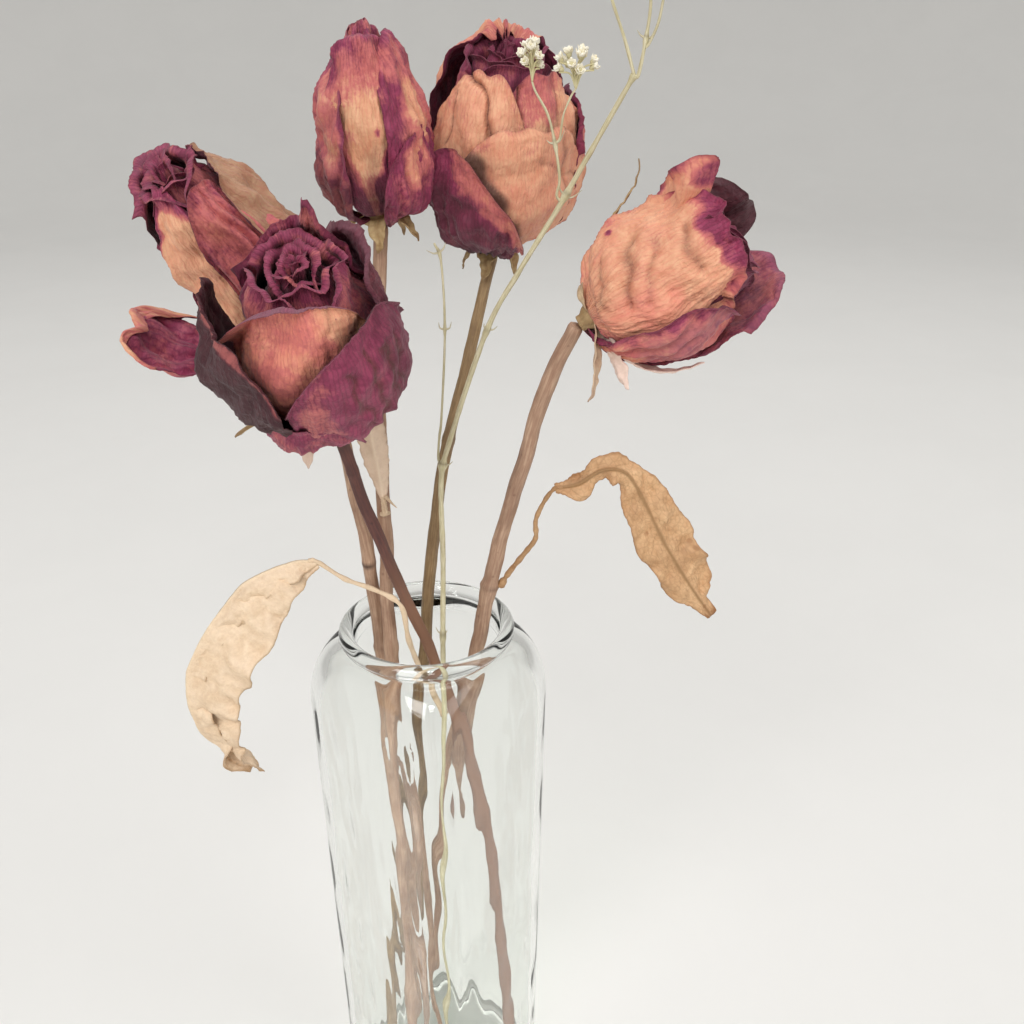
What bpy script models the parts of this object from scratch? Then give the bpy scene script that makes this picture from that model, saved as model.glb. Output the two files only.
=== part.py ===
"""Wilted bouquet: five dried roses and a sprig of gypsophila in a square glass vase.

Metres, +Z up. The origin is the middle of the vase's foot. The vase stands corner-on,
with its corners on the X and Y axes, and the bouquet faces -Y.
"""

import math
from dataclasses import dataclass

import bmesh
import bpy
import numpy as np
from mathutils import Matrix, Vector

GAP = 0.0003  # clearance between pieces that touch

# Vase: a square prism with round corners, rounded in at the shoulder to a round, beaded mouth
VASE_HEIGHT = 0.229
VASE_HALF_SIDE = 0.033
FOOT_HALF_SIDE = 0.031
CORNER_RADIUS = 0.011
FOOT_BEVEL = 0.002
SHOULDER_DROP = 0.030
COLLAR_HEIGHT = 0.006
NECK_RADIUS = 0.0285
LIP_RADIUS = 0.0025
LIP_INSET = 0.0005
WALL = 0.0036
FLOOR_HEIGHT = 0.012
FLOOR_FILLET = 0.004
SHOULDER_TURNS = (22, 45, 68, 90)  # degrees up the shoulder's curve at each of its rings
BEAD_TURNS = (-40, 20, 90, 160, 220)  # degrees round the beaded lip, from its outer side

# Roses: a hip, a closed heart, and petals in shells parallel to the heart's outline
HIP_RADIUS = 0.005
HIP_HEIGHT = 0.0088
HEART_DOME = ((0.0, 0.0), (0.55, 0.0006), (0.93, 0.004))  # shares of the rim, drops below the top
HEART_SIDE = (0.72, 0.38)  # heights of the rings up its side, as shares
HEART_BOWL = (90, 62, 36, 14)  # degrees round its bowl at each ring, from the widest down
HEART_STEPS = 10
STEM_TAPER = 0.8  # a stem's radius under its flower, as a share of that at its cut end
PETAL_THICKNESS = 0.0006
SHELL_PITCH = 0.0014
NARROWEST_START = 12  # degrees round the bowl where the outermost petals may leave the hip
CLAW_WIDTH = 0.55  # a petal's width where it leaves the hip, as a share of its full width
CLAW_LENGTH = 0.5  # share of its length over which it widens
EDGE_DROP = 0.24  # how much shorter a petal is at its two edges, as a share
OPENING_END = 0.35  # share of the length where a petal has leant out by its whole opening
FLARE_START = 0.45  # share of the length where its rim starts to lean out further
SEPAL_THICKNESS = 0.0005
SEPAL_OUTLINE = (0.6, 1.0, 0.75, 0.12)  # half widths from the hip to the tip, as shares
SEPAL_ROOT = (0.5, 0.42)  # where a sepal starts inside the hip, as shares of its radius and height
SEPAL_THINNING = 0.6
STALK_RADIUS = 0.0008
BLADE_THICKNESS = 0.0008
LEAF_SIDES = 6
LEAF_EXTRA_RINGS = 4
PETAL_COLUMNS = 6
PETAL_ROWS = 5
MERIDIAN_POINTS = 81

COLLECTION = "wilted_bouquet"

GLASS = (0.86, 0.88, 0.86)
PETAL_TAN = (0.56, 0.30, 0.17)
PETAL_MAGENTA = (0.34, 0.06, 0.14)
PETAL_DARK = (0.12, 0.02, 0.05)
DRY_STEM = (0.38, 0.22, 0.14)
DARK_STEM = (0.16, 0.08, 0.06)
OLIVE_STEM = (0.30, 0.22, 0.12)
SPRIG_STEM = (0.55, 0.48, 0.25)
DRY_GREEN = (0.45, 0.36, 0.20)
PALE_LEAF = (0.62, 0.50, 0.33)
TAN_LEAF = (0.50, 0.34, 0.19)
FLOWER_WHITE = (0.85, 0.82, 0.70)


@dataclass(frozen=True)
class Bud:
    """Outline of a rose in its own frame: +Z up the axis, azimuth 0 towards -Y."""

    belly: float  # radius of the round bowl at the bottom of the heart
    side: float  # radius of the arc that closes the side above the bowl
    heart: float  # height of the heart's top above the hip


@dataclass(frozen=True)
class Petal:
    """One outer petal, in degrees and metres."""

    name: str
    azimuth: float
    spread: float  # half the angle that it wraps round the rose
    shell: float  # which parallel shell it lies in, counted outwards
    length: float  # along its middle, from the bowl's bottom
    opening: float = 0.0  # outward lean of the whole petal
    flare: float = 0.0  # further lean of its rim
    tone: tuple = PETAL_MAGENTA


@dataclass(frozen=True)
class Sepal:
    """One sepal: it leaves the hip at one angle from the axis and ends at another."""

    azimuth: float
    leaves: float
    ends: float
    length: float
    width: float


@dataclass(frozen=True)
class Rose:
    """One flower head on its stem."""

    name: str
    base: tuple
    axis: tuple
    bud: Bud
    petals: tuple
    sepals: tuple
    stem: tuple  # knots from the vase's floor up to the hip
    stem_radius: float
    stem_tone: tuple


FRONT = Rose(
    "front_rose", (-0.026, -0.038, 0.325), (0.0, -0.62, 0.78), Bud(0.0165, 0.085, 0.046),
    (
        Petal("bowl", 0, 66, 1, 0.054, tone=PETAL_TAN),
        Petal("back", 178, 62, 1, 0.064),
        Petal("lip", 118, 50, 2.2, 0.062, flare=8, tone=PETAL_DARK),
        Petal("pleated", 50, 50, 3.4, 0.052, opening=4),
        Petal("shadow", -70, 54, 2.4, 0.052, opening=14, flare=4, tone=PETAL_DARK),
        Petal("under", -14, 46, 4.7, 0.030, opening=6, flare=18),
    ),
    (
        Sepal(-20, 120, 178, 0.015, 0.0026), Sepal(-68, 95, 120, 0.019, 0.0014),
        Sepal(60, 120, 170, 0.014, 0.0024), Sepal(140, 110, 160, 0.014, 0.0024),
        Sepal(-150, 110, 165, 0.014, 0.0024),
    ),
    ((0.027, -0.003, 0.0), (0.024, -0.004, 0.070), (0.019, -0.006, 0.130), (0.011, -0.008, 0.185),
     (0.001, -0.010, 0.222), (-0.008, -0.018, 0.254), (-0.019, -0.031, 0.297),
     (-0.026, -0.038, 0.325)),
    0.0022, DARK_STEM,
)

LEFT = Rose(
    "left_rose", (-0.035, -0.011, 0.337), (-0.44, -0.40, 0.80), Bud(0.0145, 0.110, 0.047),
    (
        Petal("strip", -22, 40, 1, 0.060, tone=PETAL_TAN),
        Petal("pink_fold", 34, 34, 2.1, 0.057),
        Petal("grey_back", 100, 62, 3.3, 0.062, tone=PETAL_TAN),
        Petal("far_side", -136, 56, 2.1, 0.057),
        Petal("curled", -76, 22, 3.4, 0.047, opening=46, flare=8),
    ),
    (
        Sepal(-40, 120, 172, 0.013, 0.0022), Sepal(32, 120, 172, 0.013, 0.0022),
        Sepal(104, 120, 172, 0.013, 0.0022), Sepal(176, 120, 172, 0.013, 0.0022),
        Sepal(-112, 120, 172, 0.013, 0.0022),
    ),
    ((-0.002, -0.004, 0.0), (-0.005, -0.003, 0.060), (-0.009, -0.002, 0.120), (-0.013, -0.002, 0.180),
     (-0.0162, -0.002, 0.220), (-0.0195, -0.006, 0.272), (-0.0245, -0.009, 0.308),
     (-0.035, -0.011, 0.337)),
    0.0025, DRY_STEM,
)

TALL = Rose(
    "tall_rose", (-0.0085, 0.007, 0.363), (-0.06, -0.15, 0.98), Bud(0.0130, 0.085, 0.045),
    (
        Petal("centre", -6, 34, 1, 0.055, flare=4, tone=PETAL_TAN),
        Petal("left_side", -66, 42, 2.1, 0.054),
        Petal("right_side", 68, 56, 2.1, 0.056),
        Petal("patch", 44, 32, 3.3, 0.037, flare=6),
        Petal("far_side", 178, 58, 1.2, 0.054),
    ),
    (
        Sepal(-10, 125, 176, 0.012, 0.0024), Sepal(62, 100, 165, 0.013, 0.0024),
        Sepal(134, 125, 172, 0.012, 0.0022), Sepal(-154, 125, 172, 0.012, 0.0022),
        Sepal(-82, 105, 150, 0.013, 0.0022),
    ),
    ((-0.009, -0.020, 0.0), (-0.010, -0.019, 0.060), (-0.011, -0.017, 0.110), (-0.012, -0.014, 0.170),
     (-0.0125, -0.010, 0.2235), (-0.0122, -0.003, 0.2695), (-0.0118, 0.002, 0.309),
     (-0.0105, 0.005, 0.340), (-0.0085, 0.007, 0.363)),
    0.0025, DRY_STEM,
)

OPEN = Rose(
    "open_rose", (0.0265, 0.029, 0.350), (0.05, -0.24, 0.97), Bud(0.0203, 0.095, 0.052),
    (
        Petal("front_left", -24, 36, 2.5, 0.066, flare=-8, tone=PETAL_TAN),
        Petal("front_right", 34, 46, 1.5, 0.066, flare=-8, tone=PETAL_TAN),
        Petal("arch", 146, 58, 1.9, 0.080, flare=-22, tone=PETAL_TAN),
        Petal("right_side", 98, 38, 2.85, 0.061),
        Petal("folded", 24, 44, 3.6, 0.056, tone=PETAL_TAN),
        Petal("hanging", -20, 42, 4.9, 0.052),
    ),
    (
        Sepal(-20, 120, 172, 0.013, 0.0024), Sepal(52, 120, 172, 0.013, 0.0024),
        Sepal(124, 120, 172, 0.013, 0.0024), Sepal(-164, 120, 172, 0.013, 0.0024),
        Sepal(-92, 120, 172, 0.013, 0.0024),
    ),
    ((-0.022, 0.006, 0.0), (-0.018, 0.008, 0.060), (-0.012, 0.009, 0.120), (-0.005, 0.008, 0.180),
     (0.000, 0.006, 0.2257), (0.005, 0.010, 0.267), (0.0135, 0.019, 0.3025),
     (0.0205, 0.0245, 0.327), (0.0265, 0.029, 0.350)),
    0.0023, OLIVE_STEM,
)

RIGHT = Rose(
    "right_rose", (0.0465, -0.029, 0.341), (0.84, -0.12, 0.53), Bud(0.0170, 0.085, 0.038),
    (
        Petal("broad", -14, 76, 1.2, 0.051, tone=PETAL_TAN),
        Petal("top", -112, 30, 2.6, 0.052, flare=22),
        Petal("dark_end", 176, 60, 1.2, 0.058, opening=4, tone=PETAL_DARK),
        Petal("mauve", 122, 36, 4.0, 0.062, opening=4, flare=6),
        Petal("frill", 58, 38, 2.8, 0.042, flare=4),
    ),
    (
        Sepal(35, 111, 117, 0.0245, 0.0022), Sepal(59, 100, 84, 0.0205, 0.0042),
        Sepal(86, 96, -3, 0.037, 0.0018), Sepal(-62, 108, 40, 0.012, 0.0020),
        Sepal(-110, 92, -2, 0.043, 0.0014),
    ),
    ((-0.009, 0.018, 0.0), (-0.004, 0.014, 0.060), (0.003, 0.008, 0.125), (0.0105, 0.001, 0.180),
     (0.0174, -0.006, 0.223), (0.0247, -0.013, 0.266), (0.0334, -0.020, 0.303),
     (0.0399, -0.025, 0.3263), (0.0465, -0.029, 0.341)),
    0.0028, DRY_STEM,
)

ROSES = (FRONT, LEFT, TALL, OPEN, RIGHT)


@dataclass(frozen=True)
class Leaf:
    """A dry leaf: a round stalk that widens into a thin blade, each as knots."""

    name: str
    stalk: tuple
    blade: tuple
    half_widths: tuple  # one for each knot of the blade
    face: tuple  # direction that the blade's upper side faces
    tone: tuple


@dataclass(frozen=True)
class Twig:
    """One length of the gypsophila sprig, from its lower to its upper end."""

    name: str
    knots: tuple
    radius: float
    taper: float = 0.7
    count: int = 6
    swellings: tuple = ()


@dataclass(frozen=True)
class FlowerHead:
    """A head of tiny flowers: an ellipsoid that reaches their tips."""

    name: str
    centre: tuple
    half_size: tuple


LEAVES = (
    Leaf(
        "left_leaf",
        ((0.0047, -0.0090, 0.197), (-0.001, -0.0140, 0.213), (-0.006, -0.0205, 0.234),
         (-0.0080, -0.0245, 0.250), (-0.0158, -0.0245, 0.2562), (-0.0246, -0.027, 0.262)),
        ((-0.0318, -0.030, 0.2685), (-0.0385, -0.031, 0.266), (-0.0475, -0.033, 0.258),
         (-0.0552, -0.035, 0.247), (-0.0635, -0.036, 0.233), (-0.0665, -0.036, 0.218),
         (-0.0635, -0.034, 0.207), (-0.0570, -0.033, 0.1990)),
        (0.0012, 0.0036, 0.0078, 0.0092, 0.0090, 0.0060, 0.0048, 0.0006),
        (0.1, -0.9, 0.3), PALE_LEAF,
    ),
    Leaf(
        "right_leaf",
        ((0.0250, -0.0100, 0.2475), (0.0280, -0.0117, 0.2535), (0.0328, -0.014, 0.2615),
         (0.0358, -0.016, 0.2675), (0.0356, -0.018, 0.275), (0.0382, -0.020, 0.2827)),
        ((0.041, -0.022, 0.2876), (0.0475, -0.0235, 0.2895), (0.055, -0.025, 0.2945),
         (0.0625, -0.0262, 0.2935), (0.0690, -0.027, 0.2835), (0.0765, -0.028, 0.269),
         (0.0855, -0.028, 0.2535), (0.0925, -0.027, 0.2420)),
        (0.0010, 0.0032, 0.0028, 0.0036, 0.0066, 0.0095, 0.0070, 0.0008),
        (-0.1, -0.9, 0.4), TAN_LEAF,
    ),
    Leaf(
        "leaf_stub",
        ((-0.0120, -0.0054, 0.2735), (-0.0121, -0.0057, 0.276)),
        ((-0.0123, -0.0060, 0.279), (-0.0129, -0.0066, 0.286), (-0.0140, -0.0080, 0.295),
         (-0.0150, -0.0095, 0.305)),
        (0.0010, 0.0022, 0.0032, 0.0036),
        (0.0, -1.0, 0.2), PALE_LEAF,
    ),
)

TWIGS = (
    Twig(
        "sprig_stem",
        ((0.002, -0.015, 0.0), (0.003, -0.016, 0.090), (0.004, -0.016, 0.160), (0.005, -0.016, 0.2251),
         (0.006, -0.018, 0.2622), (0.0062, -0.0192, 0.2900), (0.0092, -0.020, 0.3038),
         (0.0204, -0.024, 0.3383), (0.0294, -0.027, 0.3556), (0.0397, -0.030, 0.3732),
         (0.0492, -0.033, 0.3908), (0.0568, -0.0358, 0.4050)),
        0.00115, 0.7, 19, ((0.26, 1.5), (0.50, 1.4), (0.82, 1.5), (1.0, 1.5)),
    ),
    Twig(
        "side_shoot",
        ((0.0056, -0.0184, 0.2975), (0.0061, -0.0180, 0.304), (0.0070, -0.0175, 0.311),
         (0.0088, -0.0140, 0.336), (0.0084, -0.0095, 0.3546), (0.0066, -0.0090, 0.3599)),
        0.0005, count=8,
    ),
    Twig(
        "flower_twig",
        ((0.0386, -0.0312, 0.3759), (0.0392, -0.0316, 0.3800), (0.0379, -0.0315, 0.3884),
         (0.0360, -0.0310, 0.3955), (0.0329, -0.0305, 0.4009), (0.0320, -0.0300, 0.4033)),
        0.0005,
    ),
    Twig(
        "flower_fork",
        ((0.0390, -0.0318, 0.3900), (0.0397, -0.0330, 0.3957), (0.0414, -0.0335, 0.4000),
         (0.0425, -0.0340, 0.4018)),
        0.0004, count=5,
    ),
    Twig(
        "top_twig_left",
        ((0.0564, -0.0359, 0.4059), (0.0538, -0.0370, 0.4129), (0.0501, -0.0380, 0.4215),
         (0.0468, -0.0380, 0.4310)),
        0.0006,
    ),
    Twig(
        "top_twig_middle",
        ((0.0578, -0.0361, 0.4053), (0.0591, -0.0370, 0.4140), (0.0597, -0.0370, 0.4216),
         (0.0587, -0.0360, 0.4301)),
        0.0006,
    ),
    Twig(
        "top_twig_right",
        ((0.0599, -0.0371, 0.4123), (0.0612, -0.0395, 0.4165), (0.0618, -0.0410, 0.4215),
         (0.0626, -0.0430, 0.4297)),
        0.0005, count=5,
    ),
)

FLOWER_HEADS = (
    FlowerHead("flowers_left", (0.0317, -0.0300, 0.4088), (0.0036, 0.0034, 0.0052)),
    FlowerHead("flowers_right", (0.0424, -0.0340, 0.4072), (0.0058, 0.0040, 0.0050)),
    FlowerHead("top_flowers_left", (0.0456, -0.0380, 0.4350), (0.0040, 0.0036, 0.0036)),
    FlowerHead("top_flowers_middle", (0.0578, -0.0358, 0.4342), (0.0038, 0.0036, 0.0038)),
    FlowerHead("top_flowers_right", (0.0632, -0.0444, 0.4335), (0.0036, 0.0034, 0.0036)),
)


def clear_scene():
    """Remove every object, so that the script starts from an empty scene."""
    for item in list(bpy.data.objects):
        bpy.data.objects.remove(item, do_unlink=True)


def make_collection(name):
    """Return a new collection of that name, linked to the scene."""
    collection = bpy.data.collections.new(name)
    bpy.context.scene.collection.children.link(collection)
    return collection


def make_material(name, colour, roughness=0.8, transmission=0.0):
    """Return a Principled material with the given linear colour."""
    material = bpy.data.materials.new(name)
    material.use_nodes = True
    shader = material.node_tree.nodes["Principled BSDF"]
    shader.inputs["Base Color"].default_value = (*colour, 1.0)
    shader.inputs["Roughness"].default_value = roughness
    shader.inputs["Metallic"].default_value = 0.0
    shader.inputs["Transmission Weight"].default_value = transmission
    material.diffuse_color = (*colour, 1.0)
    return material


def add_object(name, data, colour, parent=None, **finish):
    """Place data in the bouquet's collection as an object with its own material."""
    item = bpy.data.objects.new(name, data)
    bpy.data.collections[COLLECTION].objects.link(item)
    data.materials.append(make_material(name, colour, **finish))
    item.parent = parent
    return item


def smooth_route(knots, count):
    """Return count points on the Catmull-Rom curve through the knots."""
    knots = [Vector(knot) for knot in knots]
    before = knots[0] * 2 - knots[1]
    after = knots[-1] * 2 - knots[-2]
    padded = [before, *knots, after]
    points = []
    for place in np.linspace(0.0, len(knots) - 1.0, count):
        index = min(int(place), len(knots) - 2)
        t = place - index
        a, b, c, d = padded[index:index + 4]
        points.append(0.5 * (2 * b + (c - a) * t + (2 * a - 5 * b + 4 * c - d) * t ** 2
                             + (3 * b - a - 3 * c + d) * t ** 3))
    return points


def tube(name, knots, radius, colour, count=12, taper=1.0, swellings=()):
    """Make a round stem along the knots, tapering to taper times its radius.

    swellings are (share of the length, factor) pairs for the nodes of the stem.
    """
    curve = bpy.data.curves.new(name, "CURVE")
    curve.dimensions = "3D"
    curve.bevel_depth = radius
    curve.bevel_resolution = 1
    curve.use_fill_caps = True
    spline = curve.splines.new("POLY")
    spline.points.add(count - 1)
    for index, place in enumerate(smooth_route(knots, count)):
        share = index / (count - 1)
        factor = 1.0 + (taper - 1.0) * share
        for where, growth in swellings:
            if abs(where - share) <= 0.5 / (count - 1):
                factor *= growth
        spline.points[index].co = (*place, 1.0)
        spline.points[index].radius = factor
    return add_object(name, curve, colour)


def stand_on_floor(knots, radius):
    """Set the first knot's height so that the cut end of the stem stands on the vase's floor."""
    first, second = Vector(knots[0]), Vector(knots[1])
    first.z = FLOOR_HEIGHT
    lean = (second - first).normalized()
    first.z += GAP + radius * math.hypot(lean.x, lean.y)
    return (tuple(first), *knots[1:])


def loft(name, rings, colour, parent=None, **finish):
    """Skin closed rings of equal length into one closed body with flat ends."""
    mesh = bpy.data.meshes.new(name)
    body = bmesh.new()
    loops = [[body.verts.new(point) for point in ring] for ring in rings]
    size = len(loops[0])
    for low, high in zip(loops, loops[1:]):
        for i in range(size):
            j = (i + 1) % size
            body.faces.new((low[i], low[j], high[j], high[i]))
    body.faces.new(list(reversed(loops[0])))
    body.faces.new(loops[-1])
    bmesh.ops.recalc_face_normals(body, faces=body.faces)
    body.to_mesh(mesh)
    body.free()
    return add_object(name, mesh, colour, parent, **finish)


def corner_angles():
    """Return directions round the vase: few along the flats, more round the corners."""
    offsets = (-39, -33, -16, 0, 16, 33, 39, 45)
    return [math.radians(quarter * 90 + 45 + offset) for quarter in range(4) for offset in offsets]


def round_square(half_side, corner, height):
    """Return a ring at that height: a square of that half side with round corners on X and Y.

    A corner radius equal to the half side makes it a circle.
    """
    ring = []
    inset = half_side - corner
    for angle in corner_angles():
        offset = abs((angle - math.radians(45) + math.pi / 4) % (math.pi / 2) - math.pi / 4)
        reach = half_side / math.cos(offset)
        if half_side * math.tan(offset) > inset:
            along = inset * (math.cos(offset) + math.sin(offset))
            across = inset * (math.cos(offset) - math.sin(offset))
            reach = along + math.sqrt(max(corner ** 2 - across ** 2, 0.0))
        ring.append((reach * math.cos(angle), reach * math.sin(angle), height))
    return ring


def shoulder_ring(neck, half_side, corner, low, high, turn):
    """Return the shoulder's ring at an angle of turn round the quarter ellipse from side to neck."""
    root = math.sqrt(2.0)
    diagonal = (half_side - corner) * root + corner
    share = math.cos(turn)
    half = neck + (half_side - neck) * share
    reach = neck + (diagonal - neck) * share
    radius = min((half * root - reach) / (root - 1.0), half)
    return round_square(half, radius, low + (high - low) * math.sin(turn))


def make_vase():
    """Make the vase as one wall: up the outside, over the beaded lip, down the inside."""
    top = VASE_HEIGHT - COLLAR_HEIGHT
    low = VASE_HEIGHT - SHOULDER_DROP
    turns = [math.radians(angle) for angle in SHOULDER_TURNS]
    rings = [
        round_square(FOOT_HALF_SIDE - FOOT_BEVEL, CORNER_RADIUS - FOOT_BEVEL, 0.0),
        round_square(FOOT_HALF_SIDE, CORNER_RADIUS, FOOT_BEVEL),
        round_square(VASE_HALF_SIDE, CORNER_RADIUS, low),
    ]
    rings += [shoulder_ring(NECK_RADIUS, VASE_HALF_SIDE, CORNER_RADIUS, low, top, turn)
              for turn in turns]
    bead = NECK_RADIUS - LIP_INSET
    for angle in BEAD_TURNS:
        turn = math.radians(angle)
        radius = bead + LIP_RADIUS * math.cos(turn)
        rings.append(round_square(radius, radius, VASE_HEIGHT + LIP_RADIUS * (math.sin(turn) - 1.0)))
    inner_neck = NECK_RADIUS - WALL
    inner_side = VASE_HALF_SIDE - WALL
    inner_corner = CORNER_RADIUS - WALL
    rings += [shoulder_ring(inner_neck, inner_side, inner_corner, low - WALL, top - WALL, turn)
              for turn in reversed(turns)]
    rings += [
        round_square(inner_side, inner_corner, low - WALL),
        round_square(FOOT_HALF_SIDE - WALL, inner_corner, FLOOR_HEIGHT + FLOOR_FILLET),
        round_square(FOOT_HALF_SIDE - WALL - FLOOR_FILLET, inner_corner, FLOOR_HEIGHT),
    ]
    loft("vase", rings, GLASS, roughness=0.02, transmission=1.0)


def flower_frame(rose):
    """Add the empty that carries a flower head: +Z up its axis, +X towards the front."""
    axis = Vector(rose.axis).normalized()
    front = Vector((0.0, -1.0, 0.0))
    front = (front - axis * front.dot(axis)).normalized()
    side = axis.cross(front)
    holder = bpy.data.objects.new(rose.name + "_frame", None)
    bpy.data.collections[COLLECTION].objects.link(holder)
    columns = Matrix((front, side, axis)).transposed().to_4x4()
    holder.matrix_world = Matrix.Translation(rose.base) @ columns
    return holder


def bowl_start(bud, offset):
    """Return where a shell at that offset leaves the hip: angle round the bowl, radius, height."""
    radius = bud.belly + offset
    centre = HIP_HEIGHT + GAP + bud.belly
    apart = centre - HIP_HEIGHT / 2
    reach = HIP_RADIUS + GAP + PETAL_THICKNESS / 2
    cosine = (radius ** 2 + apart ** 2 - reach ** 2) / (2.0 * radius * apart)
    angle = math.acos(min(cosine, math.cos(math.radians(NARROWEST_START))))
    return angle, radius * math.sin(angle), centre - radius * math.cos(angle)


def soft_step(value):
    """Ease from 0 to 1 over the range 0 to 1."""
    value = np.clip(value, 0.0, 1.0)
    return value * value * (3.0 - 2.0 * value)


def meridian(bud, petal):
    """Return the petal's middle line as arrays of length, radius and height.

    The bowl is a quarter circle, the side an arc that closes inwards; the opening and the
    flare tip that line outwards.
    """
    offset = petal.shell * SHELL_PITCH
    angle, radius, height = bowl_start(bud, offset)
    bowl = bud.belly + offset
    start = bowl * angle
    length = np.linspace(0.0, petal.length - start, MERIDIAN_POINTS)
    share = length / length[-1]
    travelled = length + start
    quarter = bowl * math.pi / 2
    tilt = np.maximum(math.pi / 2 - travelled / bowl, 0.0)
    tilt -= np.maximum(travelled - quarter, 0.0) / (bud.side + offset)
    tilt += math.radians(petal.opening) * soft_step(share / OPENING_END)
    tilt += math.radians(petal.flare) * soft_step((share - FLARE_START) / (1.0 - FLARE_START))
    middle = (tilt[1:] + tilt[:-1]) / 2
    step = np.diff(length)
    radii = radius + np.concatenate(([0.0], np.cumsum(np.sin(middle) * step)))
    heights = height + np.concatenate(([0.0], np.cumsum(np.cos(middle) * step)))
    return length, radii, heights


def make_petal(rose, petal, parent):
    """Bend a grid round the rose and thicken it into one petal."""
    mesh = bpy.data.meshes.new(petal.name)
    sheet = bmesh.new()
    bmesh.ops.create_grid(sheet, x_segments=PETAL_COLUMNS, y_segments=PETAL_ROWS, size=1.0)
    length, radii, heights = meridian(rose.bud, petal)
    for vertex in sheet.verts:
        across = vertex.co.x
        share = (vertex.co.y + 1.0) / 2.0
        travelled = share * length[-1] * (1.0 - EDGE_DROP * abs(across) ** 3)
        width = petal.spread * (CLAW_WIDTH + (1.0 - CLAW_WIDTH) * soft_step(share / CLAW_LENGTH))
        turn = math.radians(petal.azimuth + width * across)
        radius = np.interp(travelled, length, radii)
        vertex.co = (radius * math.cos(turn), radius * math.sin(turn),
                     np.interp(travelled, length, heights))
    sheet.to_mesh(mesh)
    sheet.free()
    item = add_object(f"{rose.name}_petal_{petal.name}", mesh, petal.tone, parent)
    thicken = item.modifiers.new("thickness", "SOLIDIFY")
    thicken.thickness = PETAL_THICKNESS
    thicken.offset = 0.0
    item.data.shade_smooth()


def make_heart(rose, parent):
    """Turn the closed heart of a rose: a bowl with a narrowing side and a domed top."""
    bud = rose.bud
    centre = HIP_HEIGHT + GAP + bud.belly
    belly = bud.belly - PETAL_THICKNESS / 2
    top = HIP_HEIGHT + bud.heart
    rim = bud.belly - (top - centre) ** 2 / (2.0 * bud.side) - PETAL_THICKNESS / 2
    profile = [(rim * share, top - drop) for share, drop in HEART_DOME]
    for share in HEART_SIDE:
        height = centre + (top - centre) * share
        profile.append((belly - (height - centre) ** 2 / (2.0 * bud.side), height))
    for angle in HEART_BOWL:
        turn = math.radians(angle)
        profile.append((belly * math.sin(turn), centre - belly * math.cos(turn)))
    profile.append((0.0, centre - belly))
    mesh = bpy.data.meshes.new(rose.name + "_heart")
    outline = [(radius, 0.0, height) for radius, height in profile]
    mesh.from_pydata(outline, [(i, i + 1) for i in range(len(outline) - 1)], [])
    item = add_object(rose.name + "_heart", mesh, PETAL_MAGENTA, parent)
    turned = item.modifiers.new("turned", "SCREW")
    turned.steps = HEART_STEPS
    turned.render_steps = HEART_STEPS
    turned.use_merge_vertices = True
    turned.merge_threshold = 0.00001


def sepal_rings(sepal):
    """Return the sepal's diamond-shaped sections, from inside the hip out to its tip."""
    count = len(SEPAL_OUTLINE)
    place = Vector((HIP_RADIUS * SEPAL_ROOT[0], 0.0, HIP_HEIGHT * SEPAL_ROOT[1]))
    rings = []
    turn = Matrix.Rotation(math.radians(sepal.azimuth), 4, "Z")
    for index in range(count):
        share = index / (count - 1)
        lean = math.radians(sepal.leaves + (sepal.ends - sepal.leaves) * share)
        along = Vector((math.sin(lean), 0.0, math.cos(lean)))
        flat = Vector((along.z, 0.0, -along.x))
        half = sepal.width * SEPAL_OUTLINE[index]
        thick = SEPAL_THICKNESS * (1.0 - SEPAL_THINNING * share)
        corners = (Vector((0.0, half, 0.0)), flat * thick, Vector((0.0, -half, 0.0)), flat * -thick)
        rings.append([turn @ (place + corner) for corner in corners])
        place = place + along * sepal.length / (count - 1)
    return rings


def make_calyx(rose, parent):
    """Make the hip with its five sepals as one body."""
    mesh = bpy.data.meshes.new(rose.name + "_calyx")
    hip = bmesh.new()
    bmesh.ops.create_uvsphere(hip, u_segments=8, v_segments=5, radius=1.0)
    bmesh.ops.scale(hip, vec=(HIP_RADIUS, HIP_RADIUS, HIP_HEIGHT / 2), verts=hip.verts)
    bmesh.ops.translate(hip, vec=(0.0, 0.0, HIP_HEIGHT / 2), verts=hip.verts)
    hip.to_mesh(mesh)
    hip.free()
    calyx = add_object(rose.name + "_calyx", mesh, DRY_GREEN, parent)
    for number, sepal in enumerate(rose.sepals, 1):
        blade = loft(f"{rose.name}_sepal_{number}", sepal_rings(sepal), DRY_GREEN, parent)
        bpy.data.collections[COLLECTION].objects.unlink(blade)
        bpy.data.collections["cutters"].objects.link(blade)
        blade.hide_render = True
        blade.display_type = "WIRE"
        union = calyx.modifiers.new(blade.name, "BOOLEAN")
        union.operation = "UNION"
        union.object = blade


def make_rose(rose):
    """Make one rose: stem, calyx, heart and outer petals."""
    parent = flower_frame(rose)
    axis = Vector(rose.axis).normalized()
    arrives = (Vector(rose.stem[-1]) - Vector(rose.stem[-2])).normalized()
    tilt = arrives.cross(axis).length
    end = Vector(rose.base) - axis * (GAP + rose.stem_radius * STEM_TAPER * tilt)
    knots = (*stand_on_floor(rose.stem, rose.stem_radius)[:-1], tuple(end))
    tube(rose.name + "_stem", knots, rose.stem_radius, rose.stem_tone, taper=STEM_TAPER)
    make_calyx(rose, parent)
    make_heart(rose, parent)
    for petal in rose.petals:
        make_petal(rose, petal, parent)


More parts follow.
